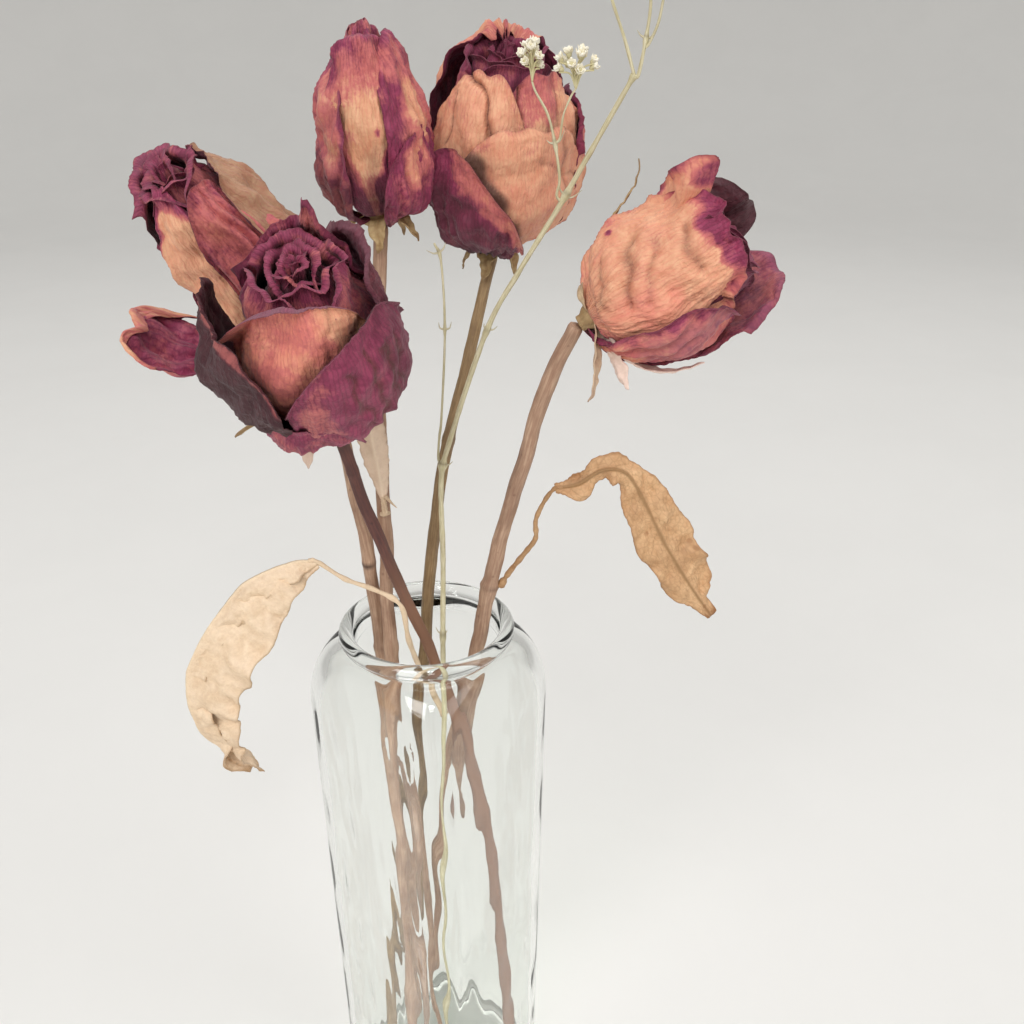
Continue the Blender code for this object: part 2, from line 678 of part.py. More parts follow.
def make_leaf(leaf):
    """Loft a leaf from its round stalk to the tip of its flat blade."""
    knots = (*leaf.stalk, *leaf.blade)
    count = len(knots) + LEAF_EXTRA_RINGS
    widths = (*[STALK_RADIUS] * len(leaf.stalk), *leaf.half_widths)
    depths = (*[STALK_RADIUS] * len(leaf.stalk), *[BLADE_THICKNESS / 2] * len(leaf.blade))
    places = np.linspace(0.0, len(knots) - 1.0, count)
    route = smooth_route(knots, count)
    rings = []
    for index, place in enumerate(places):
        along = route[min(index + 1, count - 1)] - route[max(index - 1, 0)]
        across = along.cross(Vector(leaf.face)).normalized()
        out = across.cross(along).normalized()
        half = np.interp(place, range(len(widths)), widths)
        deep = np.interp(place, range(len(depths)), depths)
        turns = [math.tau * side / LEAF_SIDES for side in range(LEAF_SIDES)]
        rings.append([route[index] + across * half * math.cos(turn) + out * deep * math.sin(turn)
                      for turn in turns])
    loft(leaf.name, rings, leaf.tone)


def make_sprig():
    """Make the gypsophila: its stem, its twigs and its heads of tiny flowers."""
    for twig in TWIGS:
        knots = twig.knots
        if twig.name == "sprig_stem":
            knots = stand_on_floor(knots, twig.radius)
        tube(twig.name, knots, twig.radius, SPRIG_STEM, twig.count, twig.taper, twig.swellings)
    for head in FLOWER_HEADS:
        mesh = bpy.data.meshes.new(head.name)
        ball = bmesh.new()
        bmesh.ops.create_uvsphere(ball, u_segments=6, v_segments=4, radius=1.0)
        bmesh.ops.scale(ball, vec=head.half_size, verts=ball.verts)
        bmesh.ops.translate(ball, vec=head.centre, verts=ball.verts)
        ball.to_mesh(mesh)
        ball.free()
        add_object(head.name, mesh, FLOWER_WHITE)


def build():
    """Build the whole bouquet."""
    clear_scene()
    make_collection(COLLECTION)
    make_collection("cutters")
    make_vase()
    for rose in ROSES:
        make_rose(rose)
    for leaf in LEAVES:
        make_leaf(leaf)
    make_sprig()


build()
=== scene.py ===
"""The looks of a wilted bouquet: dried roses and gypsophila in a square glass vase.

Metres, +Z up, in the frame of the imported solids. Every new piece is a surface computed on a
grid of two parameters and stands for the solid of the same name.
"""

import logging
from collections.abc import Callable
from dataclasses import dataclass
from enum import Enum
from math import acos, copysign, cos, pi, radians, sin, sqrt, tau

import bpy
import numpy as np
from mathutils import Matrix, Vector


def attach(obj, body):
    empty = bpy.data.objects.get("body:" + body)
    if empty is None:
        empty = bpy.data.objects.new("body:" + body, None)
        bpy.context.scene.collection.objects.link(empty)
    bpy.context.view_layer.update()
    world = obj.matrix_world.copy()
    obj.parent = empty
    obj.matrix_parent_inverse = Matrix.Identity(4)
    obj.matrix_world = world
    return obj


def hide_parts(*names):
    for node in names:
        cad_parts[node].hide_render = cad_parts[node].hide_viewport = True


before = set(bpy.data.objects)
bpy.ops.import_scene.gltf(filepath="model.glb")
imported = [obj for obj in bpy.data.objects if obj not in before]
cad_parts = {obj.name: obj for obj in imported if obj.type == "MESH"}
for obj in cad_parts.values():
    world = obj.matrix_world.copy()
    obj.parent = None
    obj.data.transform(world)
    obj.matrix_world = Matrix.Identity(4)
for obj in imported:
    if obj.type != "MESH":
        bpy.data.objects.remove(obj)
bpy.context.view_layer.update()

log = logging.getLogger("wilted_bouquet")

Array = np.ndarray
Number = Array | float
Socket = bpy.types.NodeSocket
Outputs = bpy.types.NodeOutputs
Material = bpy.types.Material

GAP = 0.0003  # clearance between solids that touch
CUT_HEIGHT = 0.0123  # where the stems' cut ends stand on the vase's floor
HIP_RADIUS = 0.005
HIP_HEIGHT = 0.0088
HIP_GIRTH = 0.0041  # the shrunken hip's own radius
STEM_TAPER = 0.8
SHELL_PITCH = 0.0014  # distance between neighbouring shells of petals
SOLID_PETAL = 0.0006  # thickness of a petal in the solid model
PETAL_THICKNESS = 0.00034
NARROWEST_START = 12
SHRUNK_TWIG = 0.78  # a dried twig's radius as a share of the solid's
WRAP = 0.22  # how far out on the hip the petals start, as a share of the solids' start
CLAW_WIDTH = 0.55
CLAW_LENGTH = 0.5
EDGE_DROP = 0.24
OPENING_END = 0.35
FLARE_START = 0.45
SLOPE_POINTS = 121
FIFTH_OF_TURN = 1.2566
GOLDEN_ANGLE = 2.4


# ---- arrays and noise


def ease(value: Array) -> Array:
    """Ease from 0 to 1: 3x^2 - 2x^3, with x held between 0 and 1."""
    value = np.clip(value, 0, 1)
    return value * value * (3 - 2 * value)


def bell(distance: Array, width: float) -> Array:
    """Return exp(-(distance / width)^2), which is 1 at a place and fades round it."""
    return np.exp(-(distance / width) ** 2)


def join(*coordinates: Number) -> Array:
    """Spread the coordinates over one shape and stack them into points."""
    return np.stack(np.broadcast_arrays(*coordinates), axis=-1)


def polar(radius: Number, turn: Array, height: Number) -> Array:
    """Return the points (radius cos turn, radius sin turn, height)."""
    return join(radius * np.cos(turn), radius * np.sin(turn), height)


def shares(count: int) -> Array:
    """Return a column of numbers spread evenly from 0 to 1."""
    return np.linspace(0, 1, count)[:, None]


def turns(count: int) -> Array:
    """Return a row of angles spread evenly round a full turn."""
    return np.linspace(0, tau, count, endpoint=False)[None, :]


def sums(steps: Array) -> Array:
    """Return the running total of the steps, starting from 0."""
    return np.concatenate(([0], np.cumsum(steps)))


def lengths(path: Array) -> Array:
    """Return how far along the path each of its points lies."""
    return sums(np.linalg.norm(np.diff(path, axis=0), axis=1))


def unit(vectors: Array) -> Array:
    """Scale each vector to length 1."""
    return vectors / np.maximum(np.linalg.norm(vectors, axis=-1, keepdims=True), 1e-12)


def normals_of(points: Array) -> Array:
    """Return a grid's unit normals: the cross product of its two central differences."""
    return unit(np.cross(np.gradient(points, axis=1), np.gradient(points, axis=0)))


def placed(points: Array, place: Matrix) -> Array:
    """Move points from a flower's own frame to the bouquet's."""
    return points @ np.array(place.to_3x3()).T + np.array(place.translation)


def waves(points: Array, length: float, seed: int, count: int = 9) -> Array:
    """Smooth seeded noise of about unit size: a sum of plane waves sin(k.p + phase).

    Args:
        points: array of points, coordinates last.
        length: typical distance between two crests.
        seed: draws the waves.
        count: number of waves.

    Returns:
        One value for each point.
    """
    draw = np.random.default_rng(seed)
    direction = draw.normal(size=(count, points.shape[-1]))
    direction /= np.linalg.norm(direction, axis=1, keepdims=True)
    wave = direction * (tau / (length * draw.uniform(0.65, 1.5, (count, 1))))
    phase = draw.uniform(0, tau, count)
    return np.sin(points @ wave.T + phase).sum(axis=-1) / sqrt(count / 2)


def ridges(points: Array, length: float, seed: int) -> Array:
    """Sharp-crested seeded noise between -1 and 1: 1 - 1.6 |waves|, as in crumpled paper."""
    return 1 - 1.6 * np.minimum(np.abs(waves(points, length, seed)), 1.25)


def smooth_route(knots: tuple, count: int) -> Array:
    """Return count points on the Catmull-Rom curve through the knots.

    Between knots b and c, with neighbours a and d, the curve is
    (2b + (c-a)t + (2a-5b+4c-d)t^2 + (3b-a-3c+d)t^3) / 2.
    """
    knots = np.array(knots, float)
    padded = np.vstack((2 * knots[0] - knots[1], knots, 2 * knots[-1] - knots[-2]))
    place = np.linspace(0, len(knots) - 1, count)
    index = np.minimum(place.astype(int), len(knots) - 2)
    t = (place - index)[:, None]
    a, b, c, d = (padded[index + step] for step in range(4))
    return 0.5 * (2 * b + (c - a) * t + (2 * a - 5 * b + 4 * c - d) * t ** 2
                  + (3 * b - a - 3 * c + d) * t ** 3)


def carried_axes(path: Array) -> tuple[Array, Array]:
    """Return two unit axes across a path at each point, carried along it without twisting.

    Each step projects the last side axis off the new direction, which is parallel transport.
    """
    along = unit(np.gradient(path, axis=0))
    start = np.array((1, 0, 0)) if abs(along[0, 0]) < 0.8 else np.array((0, 1, 0))
    sides = [unit(start - along[0] * (start @ along[0]))]
    for direction in along[1:]:
        sides.append(unit(sides[-1] - direction * (sides[-1] @ direction)))
    side = np.array(sides)
    return side, np.cross(along, side)


# ---- meshes


def quads_of(rows: int, columns: int, closed: bool = False) -> Array:
    """Return the quads of a grid of vertices stored row by row.

    Args:
        rows: number of rows.
        columns: vertices in each row.
        closed: whether the last column joins the first.

    Returns:
        Vertex indices, one face a row, wound across and then along.
    """
    low = np.arange(rows - 1)[:, None] * columns
    column = np.arange(columns if closed else columns - 1)[None, :]
    following = (column + 1) % columns
    high = low + columns
    return join(low + column, low + following, high + following, high + column).reshape(-1, 4)


def fan(ring: Array, tip: int) -> Array:
    """Return the triangles from a closed ring's pairs of neighbours to a tip."""
    return join(ring, np.roll(ring, -1), tip)


class MeshParts:
    """Gathers surfaces, with a few values for each vertex, into one mesh."""

    def __init__(self, *names: str) -> None:
        """Start empty. names are the float values that every vertex has."""
        self.vertices: list[Array] = []
        self.flows: list[Array] = []
        self.faces: list[Array] = []
        self.values: dict[str, list[Array]] = {name: [] for name in names}
        self.count = 0

    def add(self, vertices: Array, faces: list[Array], flow: Array,
            values: dict[str, Array]) -> None:
        """Add one surface.

        Args:
            vertices: its points, one a row.
            faces: arrays of faces with the same number of corners.
            flow: metres across, metres along and a number for the piece, a row for each vertex.
            values: a number for each vertex, by name.
        """
        self.vertices.append(vertices)
        self.flows.append(np.broadcast_to(flow, vertices.shape))
        self.faces.extend(face + self.count for face in faces)
        for name, value in values.items():
            self.values[name].append(value)
        self.count += len(vertices)

    def add_sheet(self, points: Array, thickness: Number, flow: Number, **values: object) -> None:
        """Add a thin closed sheet: p + n t/2 outside, p - n t/2 inside and a rim between them.

        Args:
            points: the grid p, rows x columns x 3; n is its normal.
            thickness: t, rows x columns or one number.
            flow: rows x columns x 3, or one number.
            **values: rows x columns or one number each, or such a pair, outside and inside.
        """
        shape = points.shape[:2]
        half = normals_of(points) * np.broadcast_to(thickness, shape)[..., None] / 2
        outer = quads_of(*shape)
        size = shape[0] * shape[1]
        number = np.arange(size).reshape(shape)
        loop = np.concatenate((number[0, :-1], number[:-1, -1], number[-1, :0:-1], number[:0:-1, 0]))
        following = np.roll(loop, -1)
        rim = join(loop, loop + size, following + size, following)
        both = {}
        for name in self.values:
            value = values.get(name, 0)
            pair = value if isinstance(value, tuple) else (value, value)
            both[name] = np.concatenate([np.broadcast_to(face, shape).ravel() for face in pair])
        self.add(np.concatenate(((points + half).reshape(-1, 3), (points - half).reshape(-1, 3))),
                 [outer, outer[:, ::-1] + size, rim],
                 np.tile(np.broadcast_to(flow, points.shape).reshape(-1, 3), (2, 1)), both)

    def add_rings(self, rings: Array, ends: Array, flow: Number, **values: Number) -> None:
        """Add rings of points joined in a row, with a fan to a point at each end.

        Args:
            rings: rows x columns x 3.
            ends: the two closing points.
            flow: a row for each point, the ends' last, or one number.
            **values: rows x columns or one number each.
        """
        rows, columns = shape = rings.shape[:2]
        size = rows * columns
        ring = np.arange(columns)
        spread = {name: np.broadcast_to(values.get(name, 0), shape) for name in self.values}
        self.add(np.concatenate((rings.reshape(-1, 3), ends)),
                 [quads_of(rows, columns, True), fan(ring, size)[:, (1, 0, 2)],
                  fan(ring + size - columns, size + 1)], flow,
                 {name: np.append(value, value[(0, -1), 0]) for name, value in spread.items()})

    def add_tube(self, path: Array, radius: Array, shift: float = 0, **values: Number) -> None:
        """Add a closed tube round a path: centre + radius (side cos a + up sin a).

        Args:
            path: rows x 3; side and up are carried along it.
            radius: rows x columns.
            shift: a number for the piece, the third of its flow.
            **values: rows x columns or one number each.
        """
        side, up = (axis[:, None] for axis in carried_axes(path))
        angle = turns(radius.shape[1])
        ring = side * np.cos(angle)[..., None] + up * np.sin(angle)[..., None]
        along = lengths(path)
        flow = join(angle * float(radius.mean()), along[:, None], shift).reshape(-1, 3)
        ends = join(0, along[[0, -1]], shift)
        self.add_rings(path[:, None] + ring * radius[..., None], path[[0, -1]],
                       np.concatenate((flow, ends)), **values)

    def build(self, name: str, material: Material) -> bpy.types.Object:
        """Make the mesh with that finish and return its object, which stands at the origin."""
        vertices = np.concatenate(self.vertices).astype(np.float32)
        corners = np.concatenate([face.ravel() for face in self.faces]).astype(np.int32)
        sizes = np.concatenate([np.full(len(face), face.shape[1]) for face in self.faces])
        mesh = bpy.data.meshes.new(name)
        mesh.vertices.add(len(vertices))
        mesh.vertices.foreach_set("co", vertices.ravel())
        mesh.loops.add(len(corners))
        mesh.loops.foreach_set("vertex_index", corners)
        mesh.polygons.add(len(sizes))
        mesh.polygons.foreach_set("loop_start", sums(sizes)[:-1].astype(np.int32))
        mesh.update(calc_edges=True)
        mesh.shade_smooth()
        flow = mesh.attributes.new("flow", "FLOAT_VECTOR", "POINT")
        flow.data.foreach_set("vector", np.concatenate(self.flows).astype(np.float32).ravel())
        for label, value in self.values.items():
            attribute = mesh.attributes.new(label, "FLOAT", "POINT")
            attribute.data.foreach_set("value", np.concatenate(value).astype(np.float32))
        mesh.materials.append(material)
        piece = bpy.data.objects.new(name, mesh)
        bpy.context.scene.collection.objects.link(piece)
        return piece

    def place(self, name: str, material: Material, slot: str, node: str) -> None:
        """Make the piece, which rides with the bouquet, in place of the solid named node."""
        piece = self.build(name, material)
        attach(piece, "root")
        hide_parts(node)
        log.info("%s: %d vertices, %d faces, stands for %s", name, len(piece.data.vertices),
                 len(piece.data.polygons), node)


# ---- shader nodes


def shown(colour: int) -> tuple[float, float, float, float]:
    """Turn a display colour, 0xRRGGBB, into the linear one that a shader takes."""
    levels = np.array([colour >> shift & 255 for shift in (16, 8, 0)]) / 255
    linear = np.where(levels <= 0.04045, levels / 12.92, ((levels + 0.055) / 1.055) ** 2.4)
    return (*(float(level) for level in linear), 1)


class Graph:
    """Adds shader nodes to one tree and links them."""

    def __init__(self, tree: bpy.types.NodeTree) -> None:
        """Work on that tree."""
        self.tree = tree

    def feed(self, node: bpy.types.Node, inputs: dict) -> None:
        """Link a node's inputs, by name or number, to sockets or set them to constants."""
        for key, value in inputs.items():
            if isinstance(value, Socket):
                self.tree.links.new(value, node.inputs[key])
            else:
                node.inputs[key].default_value = value

    def add(self, kind: str, inputs: dict, **settings: object) -> Outputs:
        """Add a node with those properties, feed its inputs and return its outputs."""
        node = self.tree.nodes.new(kind)
        for name, value in settings.items():
            setattr(node, name, value)
        self.feed(node, inputs)
        return node.outputs

    def math(self, operation: str, first: object, second: object = 0) -> Socket:
        """Combine two numbers with a Math node."""
        return self.add("ShaderNodeMath", {0: first, 1: second}, operation=operation)[0]

    def total(self, *terms: tuple) -> Socket:
        """Add up (number, weight) pairs, each number times its weight."""
        result = 0
        for value, weight in terms:
            result = self.math("ADD", result, value if weight == 1 else self.math("MULTIPLY", value, weight))
        return result

    def tint(self, colour: object, *layers: tuple) -> Socket:
        """Mix a colour towards each layer's in turn. A layer is (mask, strength, colour).

        Each colour is a socket, a linear colour or a display colour, 0xRRGGBB.
        """
        for mask, strength, target in layers:
            colour, target = (shown(part) if isinstance(part, int) else part for part in (colour, target))
            share = mask if strength == 1 else self.math("MULTIPLY", mask, strength)
            colour = self.add("ShaderNodeMix", {0: share, 6: colour, 7: target}, data_type="RGBA",
                              clamp_factor=True)[2]
        return colour

    def noise(self, vector: object, scale: object, detail: float = 3, roughness: float = 0.55,
              distortion: float = 0) -> Socket:
        """Return noise between 0 and 1 at that many cells a metre."""
        return self.add("ShaderNodeTexNoise", {"Vector": vector, "Scale": scale, "Detail": detail,
                                               "Roughness": roughness, "Distortion": distortion})["Fac"]

    def ramp(self, value: object, low: float, high: float, start: float = 0, end: float = 1) -> Socket:
        """Ease from start to end while the value goes from low to high."""
        return self.add("ShaderNodeMapRange", {"Value": value, "From Min": low, "From Max": high,
                                               "To Min": start, "To Max": end},
                        interpolation_type="SMOOTHSTEP")["Result"]

    def parts(self, vector: object) -> Outputs:
        """Split a vector into its three numbers."""
        return self.add("ShaderNodeSeparateXYZ", {0: vector})

    def mask(self, name: str, output: str = "Fac") -> Socket:
        """Read one of the mesh's values."""
        return self.add("ShaderNodeAttribute", {}, attribute_name=name)[output]

    def flow(self) -> Socket:
        """Read the metres across and along that each vertex keeps."""
        return self.mask("flow", "Vector")

    def place(self) -> Socket:
        """Read the position in the object's own frame."""
        return self.add("ShaderNodeTexCoord", {})["Object"]

    def effect(self, group: bpy.types.NodeTree, **inputs: object) -> Socket:
        """Place a shared effect and return its output."""
        return self.add("ShaderNodeGroup", inputs, node_tree=group)[0]

    def bump(self, height: object, distance: float, strength: float, normal: object = None) -> Socket:
        """Turn a height between 0 and 1 into a bumped normal of that depth in metres."""
        inputs = {"Strength": strength, "Distance": distance, "Height": height}
        if normal is not None:
            inputs["Normal"] = normal
        return self.add("ShaderNodeBump", inputs)["Normal"]


class Effects:
    """The shader groups that several dry finishes share."""

    def __init__(self) -> None:
        """Build each group once."""
        self.mottle = self.group("Mottle", "Value", self.mottled, Vector=None, Scale=100)
        self.crinkle = self.group("Crinkle", "Height", self.crinkled, Vector=None, Scale=200)
        self.veins = self.group("Veins", "Mask", self.veined, Flow=None, Spacing=0.001, Wander=0.8)
        self.speckle = self.group("Speckle", "Mask", self.speckled, Vector=None, Scale=150, Share=0.2)

    def group(self, name: str, output: str, work: Callable, **inputs: object) -> bpy.types.NodeTree:
        """Make a node group and return its tree.

        Args:
            name: the group's name.
            output: the name of its one output, a float.
            work: adds its nodes to a graph and returns the result.
            **inputs: each input's default: a number, or None for a vector.
        """
        tree = bpy.data.node_groups.new(name, "ShaderNodeTree")
        for label, default in inputs.items():
            kind = "NodeSocketVector" if default is None else "NodeSocketFloat"
            socket = tree.interface.new_socket(name=label, in_out="INPUT", socket_type=kind)
            if default is not None:
                socket.default_value = default
        tree.interface.new_socket(name=output, in_out="OUTPUT", socket_type="NodeSocketFloat")
        graph = Graph(tree)
        graph.add("NodeGroupOutput", {0: work(graph, graph.add("NodeGroupInput", {}))})
        return tree

    def mottled(self, graph: Graph, given: Outputs) -> Socket:
        """Cloudy patches: noise whose middle range is stretched to 0..1."""
        return graph.ramp(graph.noise(given["Vector"], given["Scale"], 4, 0.62, 0.4), 0.3, 0.7)

    def crinkled(self, graph: Graph, given: Outputs) -> Socket:
        """Crumpled paper: the folds of 1 - |2 noise - 1| at two scales, with a fine grain."""
        terms = []
        for factor, weight in ((1, 0.55), (2.7, 0.3)):
            wave = graph.noise(given["Vector"], graph.math("MULTIPLY", given["Scale"], factor), 2, 0.5, 0.8)
            fold = graph.math("ABSOLUTE", graph.total((wave, 2), (-1, 1)))
            terms.append((graph.math("SUBTRACT", 1, fold), weight))
        grain = graph.noise(given["Vector"], graph.math("MULTIPLY", given["Scale"], 9), 2)
        return graph.total(*terms, (grain, 0.15))

    def veined(self, graph: Graph, given: Outputs) -> Socket:
        """Veins along the flow: thin lines where x over spacing, bent by noise, is a whole number.

        Slanting lines twice as far apart join them, at half their strength.
        """
        axes = graph.parts(given["Flow"])
        bend = graph.math("MULTIPLY", graph.noise(given["Flow"], 140, 3, 0.6), given["Wander"])
        masks = []
        for along, spread, width in ((0, 1, 0.3), (0.55, 2.1, 0.16), (-0.5, 2.4, 0.16)):
            place = graph.total((axes[0], 1), (axes[1], along))
            place = graph.math("DIVIDE", place, graph.math("MULTIPLY", given["Spacing"], spread))
            place = graph.total((place, 1), (bend, 6))
            masks.append(graph.ramp(graph.math("PINGPONG", place, 0.5), 0, width, 1, 0))
        slanting = graph.math("MULTIPLY", graph.math("MAXIMUM", masks[1], masks[2]), 0.5)
        return graph.math("MAXIMUM", masks[0], slanting)

    def speckled(self, graph: Graph, given: Outputs) -> Socket:
        """Scattered round spots: the few cells whose random number passes 1 - share."""
        cells = graph.add("ShaderNodeTexVoronoi", {"Vector": given["Vector"], "Scale": given["Scale"]})
        chosen = graph.math("GREATER_THAN", graph.parts(cells["Color"])[0],
                            graph.math("SUBTRACT", 1, given["Share"]))
        return graph.math("MULTIPLY", chosen, graph.ramp(cells["Distance"], 0.12, 0.3, 1, 0))

    def clouds(self, graph: Graph, vector: Socket, *scales: float) -> list[Socket]:
        """Place the mottle once for each scale."""
        return [graph.effect(self.mottle, Vector=vector, Scale=scale) for scale in scales]


@dataclass(frozen=True)
class Finish:
    """A finish whose Principled shader takes what paint returns."""

    name: str

    def paint(self, graph: Graph, effects: Effects) -> dict[str, object]:
        """Return what feeds the shader's inputs, by name."""
        raise NotImplementedError

    def build(self, effects: Effects) -> Material:
        """Make the material."""
        material = bpy.data.materials.new(self.name)
        material.use_nodes = True
        graph = Graph(material.node_tree)
        graph.feed(material.node_tree.nodes["Principled BSDF"], self.paint(graph, effects))
        return material


@dataclass(frozen=True)
class PetalFinish(Finish):
    """A dried petal: papery, veined and crinkled, coloured by the mesh's masks.

    flush turns the body colour to dusty pink and then to magenta, coral warms the body, grey
    weathers it, crease browns its folds and edges and paints shade in the valleys of its wrinkles,
    and shade mixes in the deep colour: the petal's own dark tone and painted shade.
    """

    body: int = 0xD49872
    pale: int = 0xE6B890
    coral: int = 0xE27C70
    pink: int = 0xC46A66
    flushed: int = 0x9C365A
    wine: int = 0x661C39
    mauve: int = 0x8A606C
    brown: int = 0x582A20
    deep: int = 0x260E11
    vein_spacing: float = 0.0011
    spots: float = 0.04
    roughness: float = 0.66
    sheen: float = 0.1

    def paint(self, graph: Graph, effects: Effects) -> dict[str, object]:
        """Return what feeds the shader's inputs, by name."""
        flow = graph.flow()
        patches, clouds, grain = effects.clouds(graph, flow, 95, 260, 900)
        veins = graph.effect(effects.veins, Flow=flow, Spacing=self.vein_spacing, Wander=0.5)
        spots = graph.effect(effects.speckle, Vector=flow, Scale=170, Share=self.spots)
        folds = graph.effect(effects.crinkle, Vector=flow, Scale=330)
        warm = graph.math("MULTIPLY", graph.mask("coral"), graph.ramp(patches, 0, 1, 0.55, 1))
        worn = graph.math("MULTIPLY", graph.mask("grey"), graph.ramp(clouds, 0, 1, 0.7, 1))
        # The crease mask browns fold lines and edges and holds painted shade in the valleys of the wrinkles
        # and pleats.
        dried = graph.math("MULTIPLY", graph.mask("crease"), graph.ramp(grain, 0, 1, 0.6, 1))
        body = graph.tint(self.body, (clouds, 1, self.pale), (warm, 1, self.coral), (veins, 0.22, self.coral))
        red = graph.tint(self.flushed, (clouds, 0.65, self.wine), (veins, 0.45, self.wine))
        edge = graph.total((graph.mask("flush"), 1), (patches, 0.26), (grain, 0.14), (clouds, 0.14),
                           (veins, 0.08), (-0.27, 1))
        edge = graph.math("MAXIMUM", edge, graph.math("MULTIPLY", spots, 0.55))
        # The shade mask mixes in the deep colour: the dark petals' own tone and painted shade.
        colour = graph.tint(body, (graph.ramp(edge, 0.08, 0.46), 1, self.pink),
                            (graph.ramp(edge, 0.4, 0.88), 1, red), (worn, 1, self.mauve),
                            (dried, 1, self.brown), (graph.mask("shade"), 1, self.deep))
        fine = graph.bump(graph.total((folds, 1), (veins, 0.35)), 0.00028, 0.9)
        return {
            "Base Color": colour,
            "Roughness": graph.ramp(clouds, 0, 1, self.roughness - 0.08, self.roughness + 0.12),
            "Sheen Weight": self.sheen,
            "Sheen Roughness": 0.45,
            "Normal": graph.bump(grain, 0.00003, 0.6, fine),
        }


@dataclass(frozen=True)
class StalkFinish(Finish):
    """Dry stem skin: streaked along its length, with lenticels and dark marks from the mesh."""

    main: int
    light: int
    dark: int
    faded: int
    scar: int = 0x3A1E14
    roughness: float = 0.58
    streaks: float = 1500

    def paint(self, graph: Graph, effects: Effects) -> dict[str, object]:
        """Return what feeds the shader's inputs, by name."""
        flow = graph.flow()
        axes = graph.parts(flow)
        drawn = graph.add("ShaderNodeCombineXYZ", {0: axes[0], 1: graph.math("MULTIPLY", axes[1], 0.07),
                                                   2: axes[2]})[0]
        patches, = effects.clouds(graph, flow, 70)
        lines = graph.noise(drawn, self.streaks, 4, 0.65, 0.3)
        fine = graph.noise(drawn, self.streaks * 3, 2, 0.6)
        spots = graph.effect(effects.speckle, Vector=flow, Scale=420, Share=0.1)
        colour = graph.tint(self.main, (graph.ramp(lines, 0.35, 0.68), 1, self.light),
                            (patches, 0.4, self.dark), (spots, 0.45, self.dark),
                            (graph.mask("mark"), 1, self.scar), (graph.mask("pale"), 1, self.faded))
        return {
            "Base Color": colour,
            "Roughness": graph.ramp(lines, 0.2, 0.8, self.roughness - 0.1, self.roughness + 0.15),
            "Normal": graph.bump(fine, 0.00005, 0.6, graph.bump(lines, 0.00018, 0.8)),
        }


@dataclass(frozen=True)
class LeafFinish(Finish):
    """A dead leaf: pale dry blade with a vein net and darker flecks, browner where the mesh marks it."""

    main: int
    light: int
    vein: int
    stain: int
    stain_share: float = 0.35
    bleached: int = 0xF0D6C8
    roughness: float = 0.66

    def paint(self, graph: Graph, effects: Effects) -> dict[str, object]:
        """Return what feeds the shader's inputs, by name."""
        flow = graph.flow()
        patches, clouds, grain = effects.clouds(graph, flow, 60, 240, 1100)
        net = graph.add("ShaderNodeTexVoronoi", {"Vector": flow, "Scale": 620}, feature="DISTANCE_TO_EDGE")
        cells = graph.ramp(net["Distance"], 0, 0.14, 1, 0)
        spots = graph.effect(effects.speckle, Vector=flow, Scale=260, Share=0.1)
        colour = graph.tint(self.main, (clouds, 1, self.light), (patches, self.stain_share, self.stain),
                            (cells, 0.22, self.vein), (graph.mask("rib"), 0.85, self.vein),
                            (spots, 0.5, self.stain), (grain, 0.12, self.stain),
                            (graph.mask("shade"), 1, self.stain),
                            (graph.mask("bleach"), 1, self.bleached))
        folds = graph.effect(effects.crinkle, Vector=flow, Scale=260)
        return {
            "Base Color": colour,
            "Roughness": graph.ramp(clouds, 0, 1, self.roughness - 0.08, self.roughness + 0.1),
            "Normal": graph.bump(graph.total((folds, 1), (cells, 0.25)), 0.00022, 0.8),
        }


@dataclass(frozen=True)
class BlossomFinish(Finish):
    """Dried gypsophila blossom: cream white, greener and darker towards its cup."""

    white: int = 0xFAF7EC
    cream: int = 0xEEE4C8
    cup: int = 0xC0B684

    def paint(self, graph: Graph, effects: Effects) -> dict[str, object]:
        """Return what feeds the shader's inputs, by name."""
        place = graph.place()
        clouds, = effects.clouds(graph, place, 900)
        folds = graph.effect(effects.crinkle, Vector=place, Scale=1500)
        return {
            "Base Color": graph.tint(self.white, (clouds, 1, self.cream), (graph.mask("shade"), 1, self.cup)),
            "Roughness": graph.ramp(clouds, 0, 1, 0.62, 0.8),
            "Normal": graph.bump(folds, 0.00012, 0.7),
        }


@dataclass(frozen=True)
class GlassFinish(Finish):
    """Clear pressed glass: plain transmission, with a faint swell and a trace of dried film.

    Rays from lamps meet a Transparent shader, so that they reach the stems inside.
    """

    tint: tuple = (0.965, 0.978, 0.965, 1)
    film: tuple = (0.93, 0.95, 0.93, 1)
    refraction: float = 1.5

    def paint(self, graph: Graph, effects: Effects) -> dict[str, object]:
        """Return what feeds the shader's inputs, by name."""
        place = graph.place()
        film, = effects.clouds(graph, place, 45)
        return {
            "Base Color": graph.tint(self.tint, (film, 0.25, self.film)),
            "Roughness": graph.ramp(film, 0.6, 1, 0, 0.012),
            "IOR": self.refraction,
            "Transmission Weight": 1,
            "Normal": graph.bump(graph.noise(place, 55, 2, 0.5), 0.0005, 0.12),
        }

    def build(self, effects: Effects) -> Material:
        """Make the material."""
        material = super().build(effects)
        graph = Graph(material.node_tree)
        nodes = material.node_tree.nodes
        lit = graph.add("ShaderNodeBsdfTransparent", {"Color": self.film})[0]
        shadow = graph.add("ShaderNodeLightPath", {})["Is Shadow Ray"]
        mixed = graph.add("ShaderNodeMixShader", {0: shadow, 1: nodes["Principled BSDF"].outputs[0], 2: lit})
        graph.feed(nodes["Material Output"], {"Surface": mixed[0]})
        return material


@dataclass(frozen=True)
class FloorFinish(Finish):
    """The plain pale surface that the vase stands on."""

    colour: int = 0xE8E6E2
    worn: int = 0xE2E0DC

    def paint(self, graph: Graph, effects: Effects) -> dict[str, object]:
        """Return what feeds the shader's inputs, by name."""
        tone, = effects.clouds(graph, graph.place(), 6)
        return {"Base Color": graph.tint(self.colour, (tone, 0.3, self.worn)), "Roughness": 0.85}


# ---- petals


